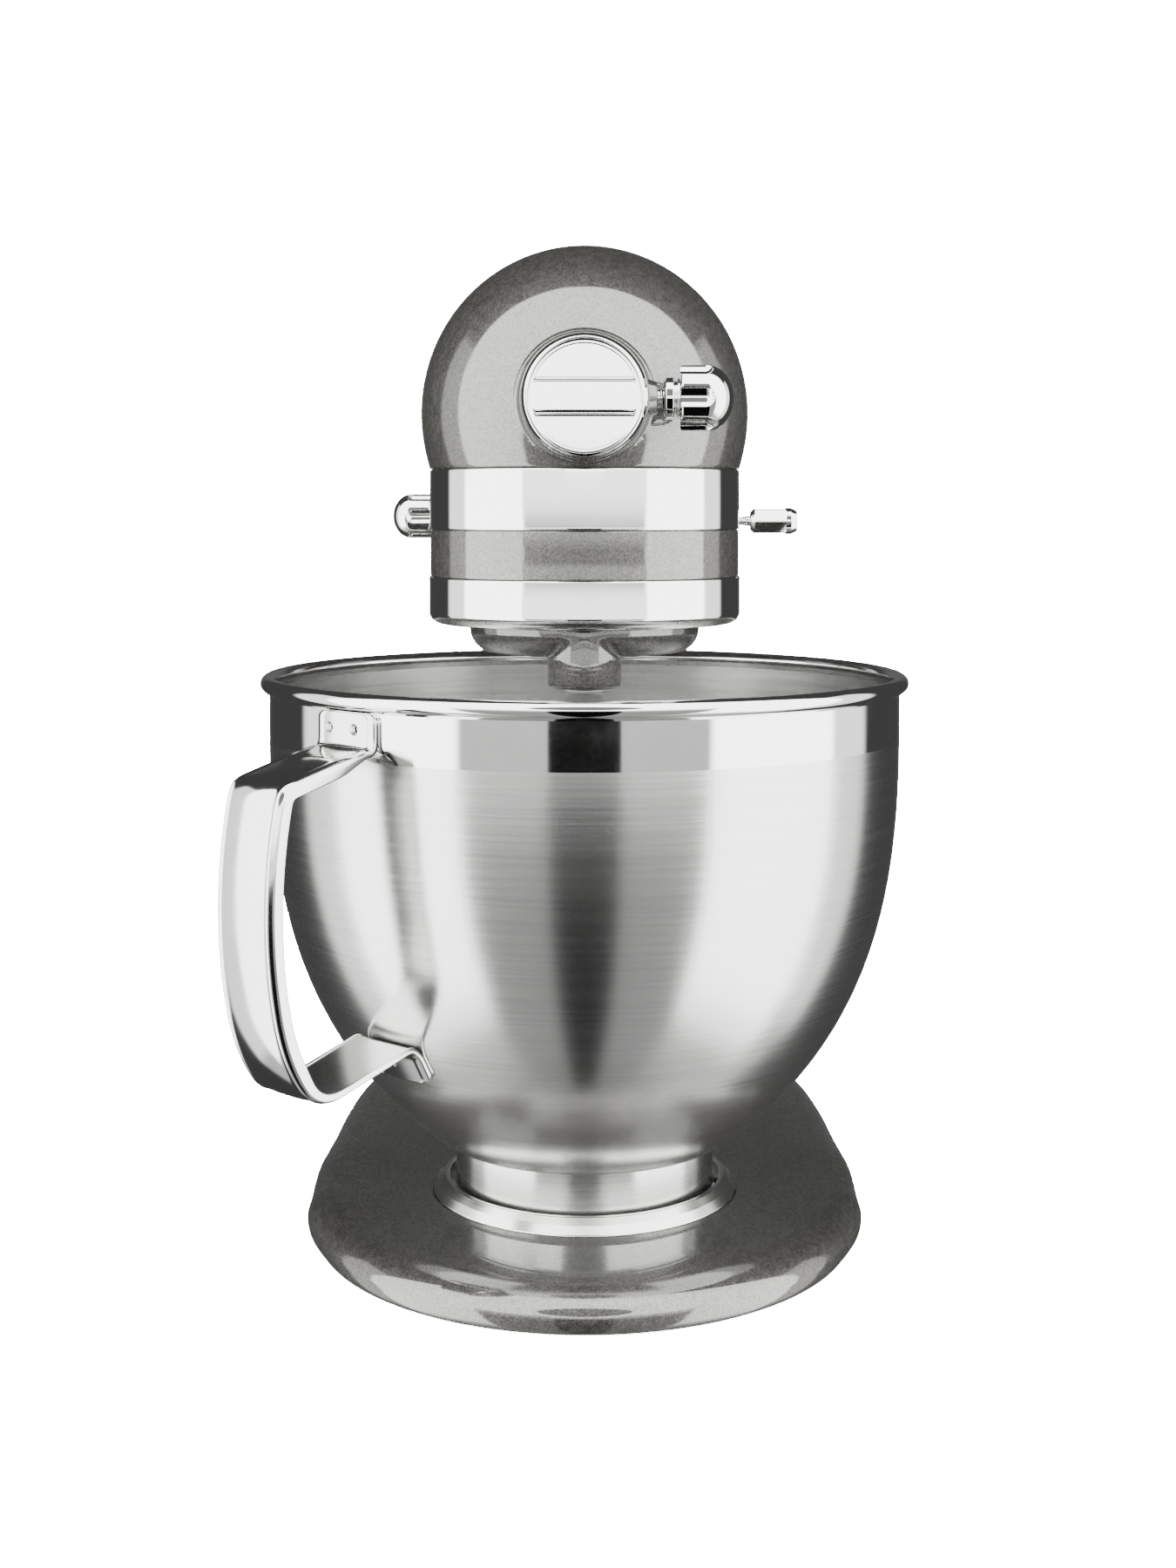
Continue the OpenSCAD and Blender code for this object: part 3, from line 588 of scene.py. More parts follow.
chrome = polished_material("chrome_plate", (0.9, 0.9, 0.89), 0.035, 0.03)
bowl_polished = polished_material("bowl_polished", (0.86, 0.86, 0.85), 0.045, 0.035)
bowl_brushed = brushed_material("bowl_steel", (0.7, 0.7, 0.69), 0.21, 0.0000015, 0.55)
steel_turned = brushed_material("turned_steel", (0.74, 0.74, 0.74), 0.16, 0.000004, 0.4)
SLOT_MATERIAL = {
    "silver_paint": paint_material(),
    "chrome_plate": chrome,
    "bowl_steel": bowl_brushed,
    "handle_steel": polished_material("handle_steel", (0.72, 0.72, 0.71), 0.09, 0.07),
    "clamp_steel": brushed_material("clamp_steel", (0.8, 0.8, 0.78), 0.24, 0.000005, 0.5),
    "steel": brushed_material("steel", (0.72, 0.72, 0.72), 0.22, 0.000004, 0.3, None),
    "rubber": grainy_material("rubber", (0.012, 0.012, 0.012), (0.035, 0.035, 0.034), 0.72,
                              2600, 0.00004),
    "black_plastic": grainy_material("black_plastic", (0.014, 0.014, 0.014), (0.03, 0.03, 0.03),
                                     0.42, 3200, 0.00003),
    "cast_aluminium": grainy_material("cast_aluminium", (0.42, 0.43, 0.44), (0.62, 0.63, 0.64),
                                      0.48, 1400, 0.00006, 1.0),
    "bronze": grainy_material("bronze", (0.5, 0.33, 0.13), (0.78, 0.55, 0.25), 0.34, 1800,
                              0.00003, 1.0),
    "board_green": grainy_material("board_green", (0.01, 0.07, 0.03), (0.03, 0.16, 0.07), 0.45,
                                   900, 0.00005),
    "copper": layered_material("copper_wire", 1.0, ("Z", 190, 0.6), (0.35, 0.12, 0.05),
                               (0.85, 0.42, 0.22), (0.5, 0.28), (0.0002, 0.8)),
    "laminated_steel": layered_material("laminated_steel", 0.9, ("Y", 320, 0.15),
                                        (0.12, 0.12, 0.13), (0.42, 0.43, 0.45), (0.6, 0.35),
                                        (0.0001, 0.6)),
}
for row in frame["record"]["subparts"]:
    cad_node = frame["nodes"][row["node"]]
    cad_node.data.materials.clear()
    cad_node.data.materials.append(SLOT_MATERIAL[row["material_slot"]])


# ---------- stand
def make_base():
    rings = [base_crown(k, 4) for k in (1, 0.5, 0)]
    rings += [base_ring(lift, 4) for lift in (70, 50, 30, 10, 0)]
    rings.append(at_z(base_plan(BASE_R - 4, BASE_SIDE - 4, BASE_BACK - 4), 0.5))
    for a in range(90, -1, -15):
        inset = 1.4 * (1 - cosd(a))
        rings.append(at_z(base_plan(BASE_R - inset, BASE_SIDE - inset, BASE_BACK - inset),
                          5 - 4.5 * sind(a)))
    rings += [base_ring(lift, 0) for lift in range(3, 82, 3)]
    rings += [base_crown(k / 12, 0) for k in range(13)]
    base = loft("base", rings)
    pads = [rod(57, 7, "Z", (0, 0, 4.6), steps=160)]
    pads += [rod(10, 6.5, "Z", (x, y, 3.5)) for x, y in FEET]
    add(base, *pads)
    holes = [turned(rounded([(0, 8.6, 0), (53.4, 8.6, 0), (53.4, 13.5, 0.6), (54.4, 14.6, 0),
                             (54.4, 20, 0), (0, 20, 0)]), "Z", (0, 0, 0), STEPS)]
    holes += [rod(3, 5.5, "Z", (x, y, 3)) for x, y in FEET]
    holes += [rod(4.1, 20, "Z", (x, y, 2)) for x, y in BOLTS]
    holes += [rod(2.1, 20, "Z", (x, y, 0)) for x, y in CLAMP_SCREWS]
    cut(base, *holes)
    finish_piece(base, "stand_base", "base_casting", "stand", "silver_paint")


def make_column():
    heights = [BASE_Z + 0.05]
    while heights[-1] < 220:
        heights.append(heights[-1] + 0.5 + (heights[-1] - BASE_Z) * 0.07)
    heights.append(229)
    column = loft("column", [column_ring(z, 0) for z in heights])
    core = loft("cutter", [column_ring(z, 5) for z in heights if 20 < z < 188])
    cut(column, core)
    add(column, block((-28, -16), (122, 130), (220, 246)))
    top = arc(HINGE_Y, HINGE_Z, 13.9, 90, 54, 9)
    top.append((top[-1][0] + 80 * cosd(-36), top[-1][1] + 80 * sind(-36)))
    top.append((top[-1][0], 260))
    top.append((HINGE_Y, 260))
    cutters = [prism(top, -70, 70), block((-16, 16), (138, 215), (191, 240)),
               rod(5, 120, "X", (-60, HINGE_Y, HINGE_Z)),
               block((LOCK_X - 3.8, LOCK_X + 3.8), (118, 138), (LOCK_PIN_Z - 3.8, LOCK_PIN_Z + 3.8)),
               rod(2.05, 20, "Z", (-32, HINGE_Y, 217)), rod(2.55, 40, "Z", (0, 128, 205))]
    cutters += [rod(4.02, 24.5, "Z", (x, y, 10)) for x, y in BOLTS]
    cut(column, *cutters)
    bevel(column, 0.5, 2, 50)
    finish_piece(column, "stand_column", "column_casting", "stand", "silver_paint")


def make_feet():
    profile = rounded([(0, 0, 0), (9, 0, 0.8), (9, 3.45, 0.5), (2.98, 3.45, 0), (2.98, 8, 0.4),
                       (0, 8, 0)])
    feet = [turned(profile, "Z", (x, y, 0), 48) for x, y in FEET]
    finish_piece(join("feet", *feet), "stand_feet", "rubber_feet", "stand", "rubber")


def make_clamp_plate():
    ring = revolve("clamp", rounded([
        (0, 8.65, 0), (53.3, 8.65, 0.2), (53.3, 14.5, 1.2), (51.4, 17.2, 2.4), (49.4, 19.4, 0.7),
        (47.6, 19.4, 0.5), (47.6, SEAT_Z, 0.6), (0, SEAT_Z, 0)], 8), 256)
    lug = rounded([(46.1, 14.2, 0.3), (47.9, 14.2, 0), (47.9, 16.4, 0), (46.1, 16.4, 0.3)], 3)
    add(ring, *[revolve("lug", lug, 40, a, 30) for a in (0, 120, 240)])
    holes = []
    for x, y in CLAMP_SCREWS:
        holes += [rod(2.1, 20, "Z", (x, y, 0)), rod(4.6, 5, "Z", (x, y, 9.6))]
    cut(ring, *holes)
    finish_piece(ring, "stand_clamp_plate", "bowl_clamp_plate", "stand", "clamp_steel")


# ---------- bowl
def bowl_radius(z, t):
    return (BOWL_WIDE - t) * (1 - ((BOWL_TOP - z) / (BOWL_DEEP - t)) ** 2.92) ** 0.65


def bowl_side(t):
    side = [(BOWL_WIDE - t, RIM_Z - 2.9)]
    for i in range(91):
        z = BOWL_TOP - (BOWL_TOP - 35 - t) * (i / 90) ** 0.85
        side.append((bowl_radius(z, t), z))
    side.append((bowl_radius(35, 0) - 2 - t / 2, BOWL_FLOOR + 0.5 + t))
    side += [(FOOT_R, BOWL_FLOOR + t), (36, BOWL_FLOOR + t), (20, BOWL_FLOOR + 0.4 + t),
             (10, BOWL_FLOOR + 2.2 + t), (0, BOWL_FLOOR + 3 + t)]
    return side


def make_bowl():
    bead = arc(RIM_R - 2.8, RIM_Z - 2.8, 2.8, 208, -70, 30)
    profile = list(reversed(bowl_side(BOWL_WALL))) + bead + bowl_side(0)[1:]
    bowl = revolve("bowl", profile, 288)
    finish_piece(bowl, "bowl_body", "bowl_shell", "bowl", "bowl_steel", 40,
                 [bowl_brushed, bowl_polished])
    for face in bowl.data.polygons:
        centre = face.center
        outside = Vector((centre.x, centre.y, 0)).dot(face.normal) > 0
        high = centre.z > POLISHED_Z * MM
        rim = centre.z > (RIM_Z - 5.2) * MM
        face.material_index = 1 if rim or (high and outside) else 0


def make_bowl_foot():
    foot = revolve("foot", rounded([
        (FOOT_R - 1.2, SEAT_Z + 0.2, 0.4), (FOOT_R, SEAT_Z + 0.2, 0.5), (FOOT_R, BOWL_FLOOR - 1, 0.3),
        (FOOT_R + 0.7, BOWL_FLOOR - 0.2, 0.3), (FOOT_R + 0.4, BOWL_FLOOR + 0.6, 0.2),
        (FOOT_R - 1.2, BOWL_FLOOR, 0)], 4), 256)
    tab = rounded([(FOOT_R - 0.4, 11.2, 0), (FOOT_R + 1.5, 11.2, 0.5), (FOOT_R + 1.5, 13.6, 0.5),
                   (FOOT_R - 0.4, 13.6, 0)], 4)
    add(foot, *[revolve("tab", tab, 30, a, 22) for a in (4, 124, 244)])
    finish_piece(foot, "bowl_foot_ring", "bowl_foot", "bowl", "bowl_steel")


def handle_path():
    """Middle line of the strap as (distance from the axis, height), in even small steps."""
    path = [(112, 190.2), (112, 180.6)]
    path += arc(113.8, 180.4, 1.8, 184, 254, 6)
    path += arc(142.5, 166, 5.2, 77, 13, 12)
    path += arc(-2.8, 133, 154.2, 12, -12, 40)
    path += arc(90.1, 113.3, 59.2, -13, -35, 16)
    path += arc(128.6, 86.3, 12.2, -38, -105, 16)
    path += arc(95.6, 80.9, 1.7, 75, 149, 8)
    path += [(87.8, 70.5)]
    points = [Vector(p) for p in path]
    lengths = [0.0]
    for a, b in zip(points, points[1:]):
        lengths.append(lengths[-1] + (b - a).length)
    total = lengths[-1]
    count = int(total / 0.9)
    even = []
    for i in range(count + 1):
        target = total * i / count
        k = max(j for j in range(len(points) - 1) if lengths[j] <= target + 1e-9)
        span = lengths[k + 1] - lengths[k]
        even.append(points[k].lerp(points[k + 1], (target - lengths[k]) / span if span else 0))
    for _ in range(3):
        even = [even[0]] + [(even[i - 1] + even[i] * 2 + even[i + 1]) / 4
                            for i in range(1, len(even) - 1)] + [even[-1]]
    return even, total


def strap_section(depth, width, lip, crown):
    """Outline of the rolled strap as (across, outwards): beads along both edges, turned inwards."""
    half = width / 2
    thick = 1.6
    bend = 0.6 + 0.9 * min(1.0, depth / 2.5)
    top = 0.8
    tip = top - thick - depth

    def face(x):
        bead = lip * math.exp(-((abs(x) - half + 1.9) / 0.85) ** 2)
        return bead + crown * (1 - (x / half) ** 2)

    left = [(x, y + face(x)) for x, y in arc(bend - half, top - bend, bend, 180, 90, 8)]
    outer = list(left)
    across = 44
    for k in range(1, across):
        x = -half + bend + (width - 2 * bend) * k / across
        outer.append((x, top + face(x)))
    outer += [(-x, y) for x, y in reversed(left)]
    inner_bend = max(0.2, bend - thick * 0.6)
    corner = arc(half - thick - inner_bend, top - thick - inner_bend, inner_bend, 0, 90, 4)
    inner = list(corner)
    for k in range(1, 20):
        x = (half - thick - inner_bend) * (1 - 2 * k / 20)
        inner.append((x, top - thick))
    inner += [(-x, y) for x, y in reversed(corner)]
    right_tip = [(half, tip + 0.6), (half - 0.25, tip + 0.15), (half - 0.8, tip),
                 (half - thick + 0.25, tip + 0.15), (half - thick, tip + 0.6)]
    left_tip = [(-x, y) for x, y in reversed(right_tip)]
    return outer + right_tip + inner + left_tip


def make_handle():
    path, total = handle_path()
    count = len(path)
    rings = []
    for i, point in enumerate(path):
        tangent = (path[min(i + 1, count - 1)] - path[max(i - 1, 0)]).normalized()
        outward = Vector((-tangent.y, tangent.x))
        s = total * i / (count - 1)
        grip = smooth((s - 12) / 14) * smooth((total - 40 - s) / 30)
        upper = smooth((14 - s) / 3)
        lower = smooth((s - total + 14) / 5)
        end = min(s, total - s)
        round_end = 2.2 * (1 - math.sqrt(max(0.0, 1 - (1 - min(1.0, end / 2.2)) ** 2)))
        ring = []
        for across, out in strap_section(0.5 + 2.3 * grip, HANDLE_W - 2 * round_end,
                                         0.25 + 0.3 * grip, 1.6 * grip):
            hug = upper * across * across / 224 + lower * across * across / 170
            place_out = outward * (out - hug)
            ring.append((point.x + place_out.x, across, point.y + place_out.y))
        rings.append(ring)
    handle = loft("handle", rings)
    pits = []
    for x, z in ((-7.2, 185.2), (4.6, 185.2)):
        pits.append(turned(rounded([(0, -2, 0), (0.9, -2, 0), (1.5, -1.1, 0.3), (2.4, 1.5, 0),
                                    (0, 1.5, 0)], 4), "X", (112.75, x, z), 24))
    pits.append(place(turned(rounded([(0, -2, 0), (0.8, -2, 0), (1.3, -1.0, 0.3), (2.0, 1.5, 0),
                                      (0, 1.5, 0)], 4), "X", (0, 0, 0), 24),
                      (92.2, 0, 75.2), (32, "Y")))
    cut(handle, *pits)
    place(handle, turn=(-90 - HANDLE_TURN, "Z"))
    finish_piece(handle, "bowl_grip", "bowl_handle", "bowl", "handle_steel", 38)


# ---------- head
def lever_slots():
    return [block((-80, -40), (LEVER_Y - 4, LEVER_Y + 19.5), (BAND_Z - 2, LOCK_Z + 4.2)),
            block((40, 80), (LEVER_Y - 3, LEVER_Y + 35), (BAND_Z - 2, LEVER_Z + 2.4))]


def band_screw_holes():
    return [rod(1.6, 30, "Y", (x, 215, BAND_SCREW_Z), steps=24) for x in BAND_SCREWS]


def head_shell(name):
    inner = [dome_ring(lift, WALL) for lift in (88, 84, 76, 66, 54, 42, 30, 18, 6, 0)]
    inner += [head_ring(z, bulge(z) - WALL) for z in (282, 276, 270)]
    inner += [head_ring(z, BAND_R - 1.35 - WALL) for z in (268, BAND_Z + 0.1)]
    outer = [head_ring(z, BAND_R - 1.35) for z in (BAND_Z + 0.1, DOME_Z - 0.2)]
    outer.append(head_ring(DOME_Z - 0.05, BAND_R - 0.45))
    outer.append(head_ring(DOME_Z + 0.15, BAND_R - 0.12))
    outer += [head_ring(z, bulge(z)) for z in (268.6, 269.4, 271, 273, 275, 277, 279, 281, 283,
                                               285, 286.5)]
    outer += [dome_ring(lift, 0) for lift in range(0, 89, 2)]
    outer.append(dome_ring(89.2, 0))
    return loft(name, inner + outer)


def make_housing():
    housing = head_shell("housing")
    boss = [(19.55, HUB_FACE), (BOSS_R - 0.5, HUB_FACE), (BOSS_R - 0.1, HUB_FACE + 0.2),
            (BOSS_R, HUB_FACE + 0.7)]
    boss += [(max(BOSS_R, r), y) for r, y in arc(27, -57.9, 6, 180, 126, 9)]
    boss += [(24.2, -51.2), (24.2, -44), (19.55, -44)]
    cut(housing, block((-80, 80), (222, 250), (DOME_Z, 360)),
        rod(20.2, 60, "Y", (0, -80, HUB_Z), steps=128))
    hub = turned(boss, "Y", (0, 0, HUB_Z), STEPS)
    knob_boss = turned(rounded([(0, 12, 0), (8.5, 12, 0), (6.4, 20.6, 1.5), (5.3, 23.6, 0.6),
                                (0, 23.6, 0)]), "X", (0, KNOB_Y, HUB_Z), 48)
    add(housing, hub, knob_boss)
    cutters = [rod(19.5, 70, "Y", (0, -80, HUB_Z), steps=128), rod(3.4, 14, "X", (17, KNOB_Y, HUB_Z))]
    cutters += [rod(7.1, 30, "X", (45, BRUSH_Y, MOTOR_Z)), rod(7.1, 30, "X", (-75, BRUSH_Y, MOTOR_Z))]
    cutters += lever_slots() + band_screw_holes()
    cut(housing, *cutters)
    finish_piece(housing, "head_housing", "upper_housing", "head", "silver_paint", 36)


def make_gear_case():
    outer = [head_ring(CASE_Z, BAND_R - 1.0), head_ring(CASE_Z + 0.15, BAND_R - 0.45),
             head_ring(CASE_Z + 0.6, BAND_R - 0.25), head_ring(BAND_Z - 0.5, BAND_R - 0.25),
             head_ring(BAND_Z - 0.1, BAND_R - 0.45), head_ring(BAND_Z, BAND_R - 0.9)]
    case = loft("case", outer)
    cut(case, loft("cutter", [head_ring(234, BAND_R - WALL - 0.4),
                              head_ring(BAND_Z + 3, BAND_R - WALL - 0.4)]))
    lug = [rod(14, 30, "X", (-15, HINGE_Y, HINGE_Z), 0.8),
           block((-15, 15), (HINGE_Y - 12, HINGE_Y + 12), (HINGE_Z, 234)),
           rod(2.95, 17, "Z", (26, LEVER_Y, 233), 0.3)]
    add(case, *lug)
    cut(case, turned(rounded([(0, CASE_Z - 5, 0), (41.6, CASE_Z - 5, 0), (41.6, CASE_Z, 0),
                              (41, CASE_Z + 0.6, 0), (41, 236, 0), (0, 236, 0)]), "Z", (0, 0, 0),
                     STEPS),
        rod(5.03, 40, "X", (-20, HINGE_Y, HINGE_Z)),
        block((-31, -13), (107, 134), (CASE_Z - 2, 235)), rod(4.05, 30, "Y", (-16, 210, 240)))
    finish_piece(case, "head_gear_case", "gear_case", "head", "silver_paint", 36)


def make_band():
    top = DOME_Z - 0.25
    low = BAND_Z + 0.1
    rings = [head_ring(low + 0.05, BAND_R - 1.3), head_ring(low, BAND_R - 0.45)]
    edge = BAND_R - 0.45
    rings += [head_ring(z, r) for r, z in arc(edge, low + 0.45, 0.45, -60, 0, 2)]
    rings.append(head_ring(low + 1.2, BAND_R))
    rings.append(head_ring((top + low) / 2, BAND_R + 0.03))
    rings.append(head_ring(top - 1.2, BAND_R))
    rings += [head_ring(z, r) for r, z in arc(edge, top - 0.45, 0.45, 0, 90, 3)]
    rings.append(head_ring(top - 0.05, BAND_R - 1.3))
    band = loft("band", rings, True)
    cut(band, block((-4, 4), (200, 260), (BAND_Z - 2, DOME_Z + 2)), *lever_slots())
    cut(band, *band_screw_holes())
    bevel(band, 0.25, 2, 60)
    finish_piece(band, "head_trim_band", "trim_band", "head", "chrome_plate", 36)


def make_drip_ring():
    edge = BAND_R + 0.25
    profile = [(edge - 1.7, CASE_Z - 0.05), (edge - 0.5, CASE_Z - 0.05)]
    profile += arc(edge - 0.5, CASE_Z - 0.55, 0.5, 90, 0, 5)
    profile += arc(edge - 4, 218, 4, 0, -90, 14)
    profile += arc(44.3, 214.8, 0.8, -90, -270, 10)
    profile += arc(edge - 4, 218, 2.4, -90, 0, 10)
    ring = revolve("drip", profile, 256)
    finish_piece(ring, "head_drip_ring", "drip_ring", "head", "chrome_plate", 40)


def make_rear_cover():
    cover = keep(head_shell("cover"), block((-80, 80), (222.3, 250), (DOME_Z + 0.2, 360)))
    cutters = [rod(2.6, 40, "Y", (0, 215, 300)), rod(4.3, 10, "Y", (0, 237.35, 300))]
    for x in range(-24, 25, 8):
        cutters.append(block((x - 1.5, x + 1.5), (215, 250), (276, 288)))
    cut(cover, *cutters)
    bevel(cover, 0.3, 2, 60)
    finish_piece(cover, "head_rear_cover", "rear_cover", "head", "silver_paint", 36)


def make_brush_caps():
    caps = []
    profile = rounded([(0, 0, 0), (7, 0, 0.4), (7, 9, 1.0), (0, 9, 0)])
    for side, s in (("X", 1), ("-X", -1)):
        cap = turned(profile, side, (50 * s, BRUSH_Y, MOTOR_Z), 64)
        cut(cap, block(sorted((s * 57.4, s * 60)), (148, 162), (MOTOR_Z - 0.8, MOTOR_Z + 0.8)))
        bevel(cap, 0.2, 2, 50)
        caps.append(cap)
    finish_piece(join("caps", *caps), "head_brush_caps", "brush_caps", "head", "black_plastic")


def make_gland():
    profile = rounded([(2.4, 6, 0), (2.4, 14, 0.3), (3.4, 14, 0.4), (4.0, 12.6, 0.3),
                       (3.5, 11.8, 0.2), (4.0, 11.0, 0.2), (3.5, 10.2, 0.2), (4.0, 9.4, 0.2),
                       (3.5, 8.6, 0.2), (4.0, 7.8, 0.2), (4.0, 4.4, 0), (5.4, 4.4, 0.4),
                       (5.4, 2.0, 0.4), (4, 2.0, 0), (4, 0, 0.3), (0, 0, 0), (0, 6, 0)], 3)
    gland = turned(profile, "Y", (-16, 217, 240), 48)
    finish_piece(gland, "head_cord_gland", "cord_gland", "head", "rubber")


# ---------- planetary
def rounded_solid(across, along, edge):
    """Signed distance to a shape with rounded edges, from its two inner distances."""
    inside = np.minimum(np.maximum(across, along), 0)
    return inside + np.hypot(np.maximum(across, 0), np.maximum(along, 0)) - edge


def carrier_field(points):
    """Signed distance to the rounded carrier disc smoothly joined to its front stem."""
    x, y, z = points.T
    r = np.hypot(x, y)
    half = (CARRIER_TOP - CARRIER_Z) / 2
    edge = np.where(z < CARRIER_Z + half, CARRIER_EDGE, 0.6)
    disc = rounded_solid(r - (CARRIER_R - edge), np.abs(z - CARRIER_Z - half) - (half - edge), edge)
    top = 214.0
    middle = (top + STEM_Z) / 2
    round_off = 1.3
    forward = np.maximum(np.abs(y + ORBIT + STEM_OVAL) - STEM_OVAL, 0)
    stem = rounded_solid(np.hypot(x, forward) - (STEM_R - round_off),
                         np.abs(z - middle) - ((top - STEM_Z) / 2 - round_off), round_off)
    fillet = 1.6
    share = np.clip(0.5 + 0.5 * (stem - disc) / fillet, 0, 1)
    return stem * (1 - share) + disc * share - fillet * share * (1 - share) * 0.55


def make_carrier():
    disc = [(0, CARRIER_Z)]
    disc += arc(CARRIER_R - CARRIER_EDGE, CARRIER_Z + CARRIER_EDGE, CARRIER_EDGE, -90, 0, 10)
    disc += [(CARRIER_R, CARRIER_TOP), (0, CARRIER_TOP)]
    carrier = revolve("carrier", disc, 128)
    add(carrier, rod(STEM_R, 20, "Z", (0, -ORBIT, STEM_Z), 1.3),
        rod(STEM_R, 20, "Z", (0, -ORBIT - 2 * STEM_OVAL, STEM_Z), 1.3))
    step = carrier.modifiers.new("grid", "REMESH")
    step.mode = "VOXEL"
    step.voxel_size = 0.75 * MM
    apply_modifiers(carrier)
    mesh = carrier.data
    points = np.empty(len(mesh.vertices) * 3)
    mesh.vertices.foreach_get("co", points)
    points = points.reshape(-1, 3) / MM
    for _ in range(5):
        value = carrier_field(points)
        slope = np.empty_like(points)
        for axis in range(3):
            shift = np.zeros(3)
            shift[axis] = 0.01
            slope[:, axis] = (carrier_field(points + shift) - carrier_field(points - shift)) / 0.02
        size = np.maximum(1e-6, (slope ** 2).sum(1))
        points -= slope * (value / size)[:, None]
    mesh.vertices.foreach_set("co", (points * MM).ravel())
    mesh.update()
    add(carrier, rod(10, 17, "Z", (0, 0, 225), 0.5, 96))
    cut(carrier, rod(6, 50, "Z", (0, 0, CARRIER_Z + 1), steps=96),
        rod(SHAFT_R + 0.05, 50, "Z", (0, -ORBIT, STEM_Z - 5), steps=96))
    finish_piece(carrier, "planetary_carrier", "planet_carrier", "planetary", "silver_paint", 50)


def make_agitator():
    shaft = turned(rounded([(0, 158, 0), (SHAFT_R, 158, 1.1), (SHAFT_R, 181.2, 0.3),
                            (SHAFT_R - 0.7, 181.6, 0.2), (SHAFT_R - 0.7, 182.6, 0.2),
                            (SHAFT_R, 183, 0.3), (SHAFT_R, 243, 0.4), (0, 243, 0)], 4),
                   "Z", (0, -ORBIT, 0), 128)
    cut(shaft, rod(2.0, 20, "X", (-10, -ORBIT, PIN_Z), steps=48))
    finish_piece(shaft, "agitator_spindle", "agitator_shaft", "agitator", "steel",
                 materials=[steel_turned])
    pin = turned(rounded([(0, 0, 0), (1.95, 0, 0.5), (1.95, 17, 0.5), (0, 17, 0)], 5), "X",
                 (-8.5, -ORBIT, PIN_Z), 48)
    finish_piece(pin, "agitator_cross_pin", "beater_pin", "agitator", "steel")
    washer = turned(rounded([(SHAFT_R, 0, 0.2), (8.1, 0, 0.5), (8.1, 1.9, 0.5),
                             (SHAFT_R, 1.9, 0.2)], 4), "Z", (0, -ORBIT, STEM_Z - 2.2), 96)
    finish_piece(washer, "agitator_thrust_washer", "agitator_washer", "agitator", "steel")


# ---------- hub, knob and levers
def make_hub_cap():
    cap = revolve("cap", rounded([
        (0, -11, 0), (16.4, -11, 0.4), (16.4, 0, 0), (20.2, 0, 0.5), (20.2, 3.0, 0.8),
        (19.3, 4.9, 0.9), (18.4, 5.2, 0.5), (17.6, 4.9, 0), (0, 4.9, 0)], 5), STEPS)
    lunettes = []
    for s in (1, -1):
        moon = revolve("cutter", [(0, 2.9), (16.9, 2.9), (17.3, 6.5), (0, 6.5)], 128)
        lunettes.append(keep(moon, block((-20, 20), sorted((s * 4.3, s * 24)), (2, 7))))
    for s in (1, -1):
        lunettes.append(rod(1.3, 33.2, "X", (-16.6, s * 5.2, 3.3), steps=40))
    cut(cap, *lunettes)
    cut(cap, rod(14.5, 12, "Z", (0, 0, -12), steps=128))
    flat = cap.modifiers.new("flat", "DECIMATE")
    flat.decimate_type = "DISSOLVE"
    flat.angle_limit = math.radians(0.4)
    apply_modifiers(cap)
    bevel(cap, 0.3, 3, 50)
    place(cap, (0, -72.3, HUB_Z), (90, "X"))
    finish_piece(cap, "hub_cover", "hub_cap", "cap", "chrome_plate", 30)


def dome(radius, top, squash, steps):
    """Profile of a dome from its widest line up to its top on the axis."""
    rise = radius * squash
    return [(radius * cosd(90 * i / steps), top - rise + rise * sind(90 * i / steps))
            for i in range(steps)] + [(0, top)]


def fluted_knob(length, radius, flutes, flute_r):
    """Domed knob along +Z with deep flutes that run out in the dome."""
    profile = [(0, 0), (radius - 0.8, 0)] + arc(radius - 0.8, 0.8, 0.8, -90, 0, 4)
    knob = revolve("knob", profile + dome(radius, length, 0.82, 24), 160)
    cutters = []
    for i in range(flutes):
        a = (i + 0.5) * 360 / flutes
        profile = [(0, -2), (flute_r, -2)] + dome(flute_r, length * 0.66, 0.8, 15)
        reach = radius + flute_r * 0.58
        cutters.append(place(revolve("cutter", profile, 64), (reach * cosd(a), reach * sind(a), 0)))
    cut(knob, *cutters)
    bevel(knob, 0.35, 3, 45)
    return knob


def make_attachment_knob():
    knob = fluted_knob(17.5, 10.75, 6, 4.6)
    place(knob, (31, KNOB_Y, HUB_Z), (90, "Y"))
    pitch = 1.25
    thread = []
    for j in range(111):
        x = 17.2 + 14.4 * j / 110
        depth = 0.42 if x < 30.6 else 0.0
        ring = []
        for i in range(48):
            a = 2 * math.pi * i / 48
            r = 3.33 - depth * (0.5 + 0.5 * math.cos(2 * math.pi * x / pitch - a))
            ring.append((x, KNOB_Y + r * math.cos(a), HUB_Z + r * math.sin(a)))
        thread.append(ring)
    add(knob, loft("thread", thread))
    finish_piece(knob, "hub_knob", "attachment_knob", "knob", "chrome_plate", 36)
    collar = turned(rounded([(3.4, 0, 0.2), (5.6, 0, 0.4), (6.85, 0.7, 0.5), (6.85, 3.1, 0.5),
                             (5.7, 3.7, 0.4), (5.7, 4.3, 0.3), (6.6, 4.5, 0.3), (6.6, 5.3, 0.3),
                             (3.4, 5.3, 0.2)], 4), "X", (25.6, KNOB_Y, HUB_Z), 128)
    finish_piece(collar, "hub_knob_collar", "knob_collar", "head", "chrome_plate", 36)


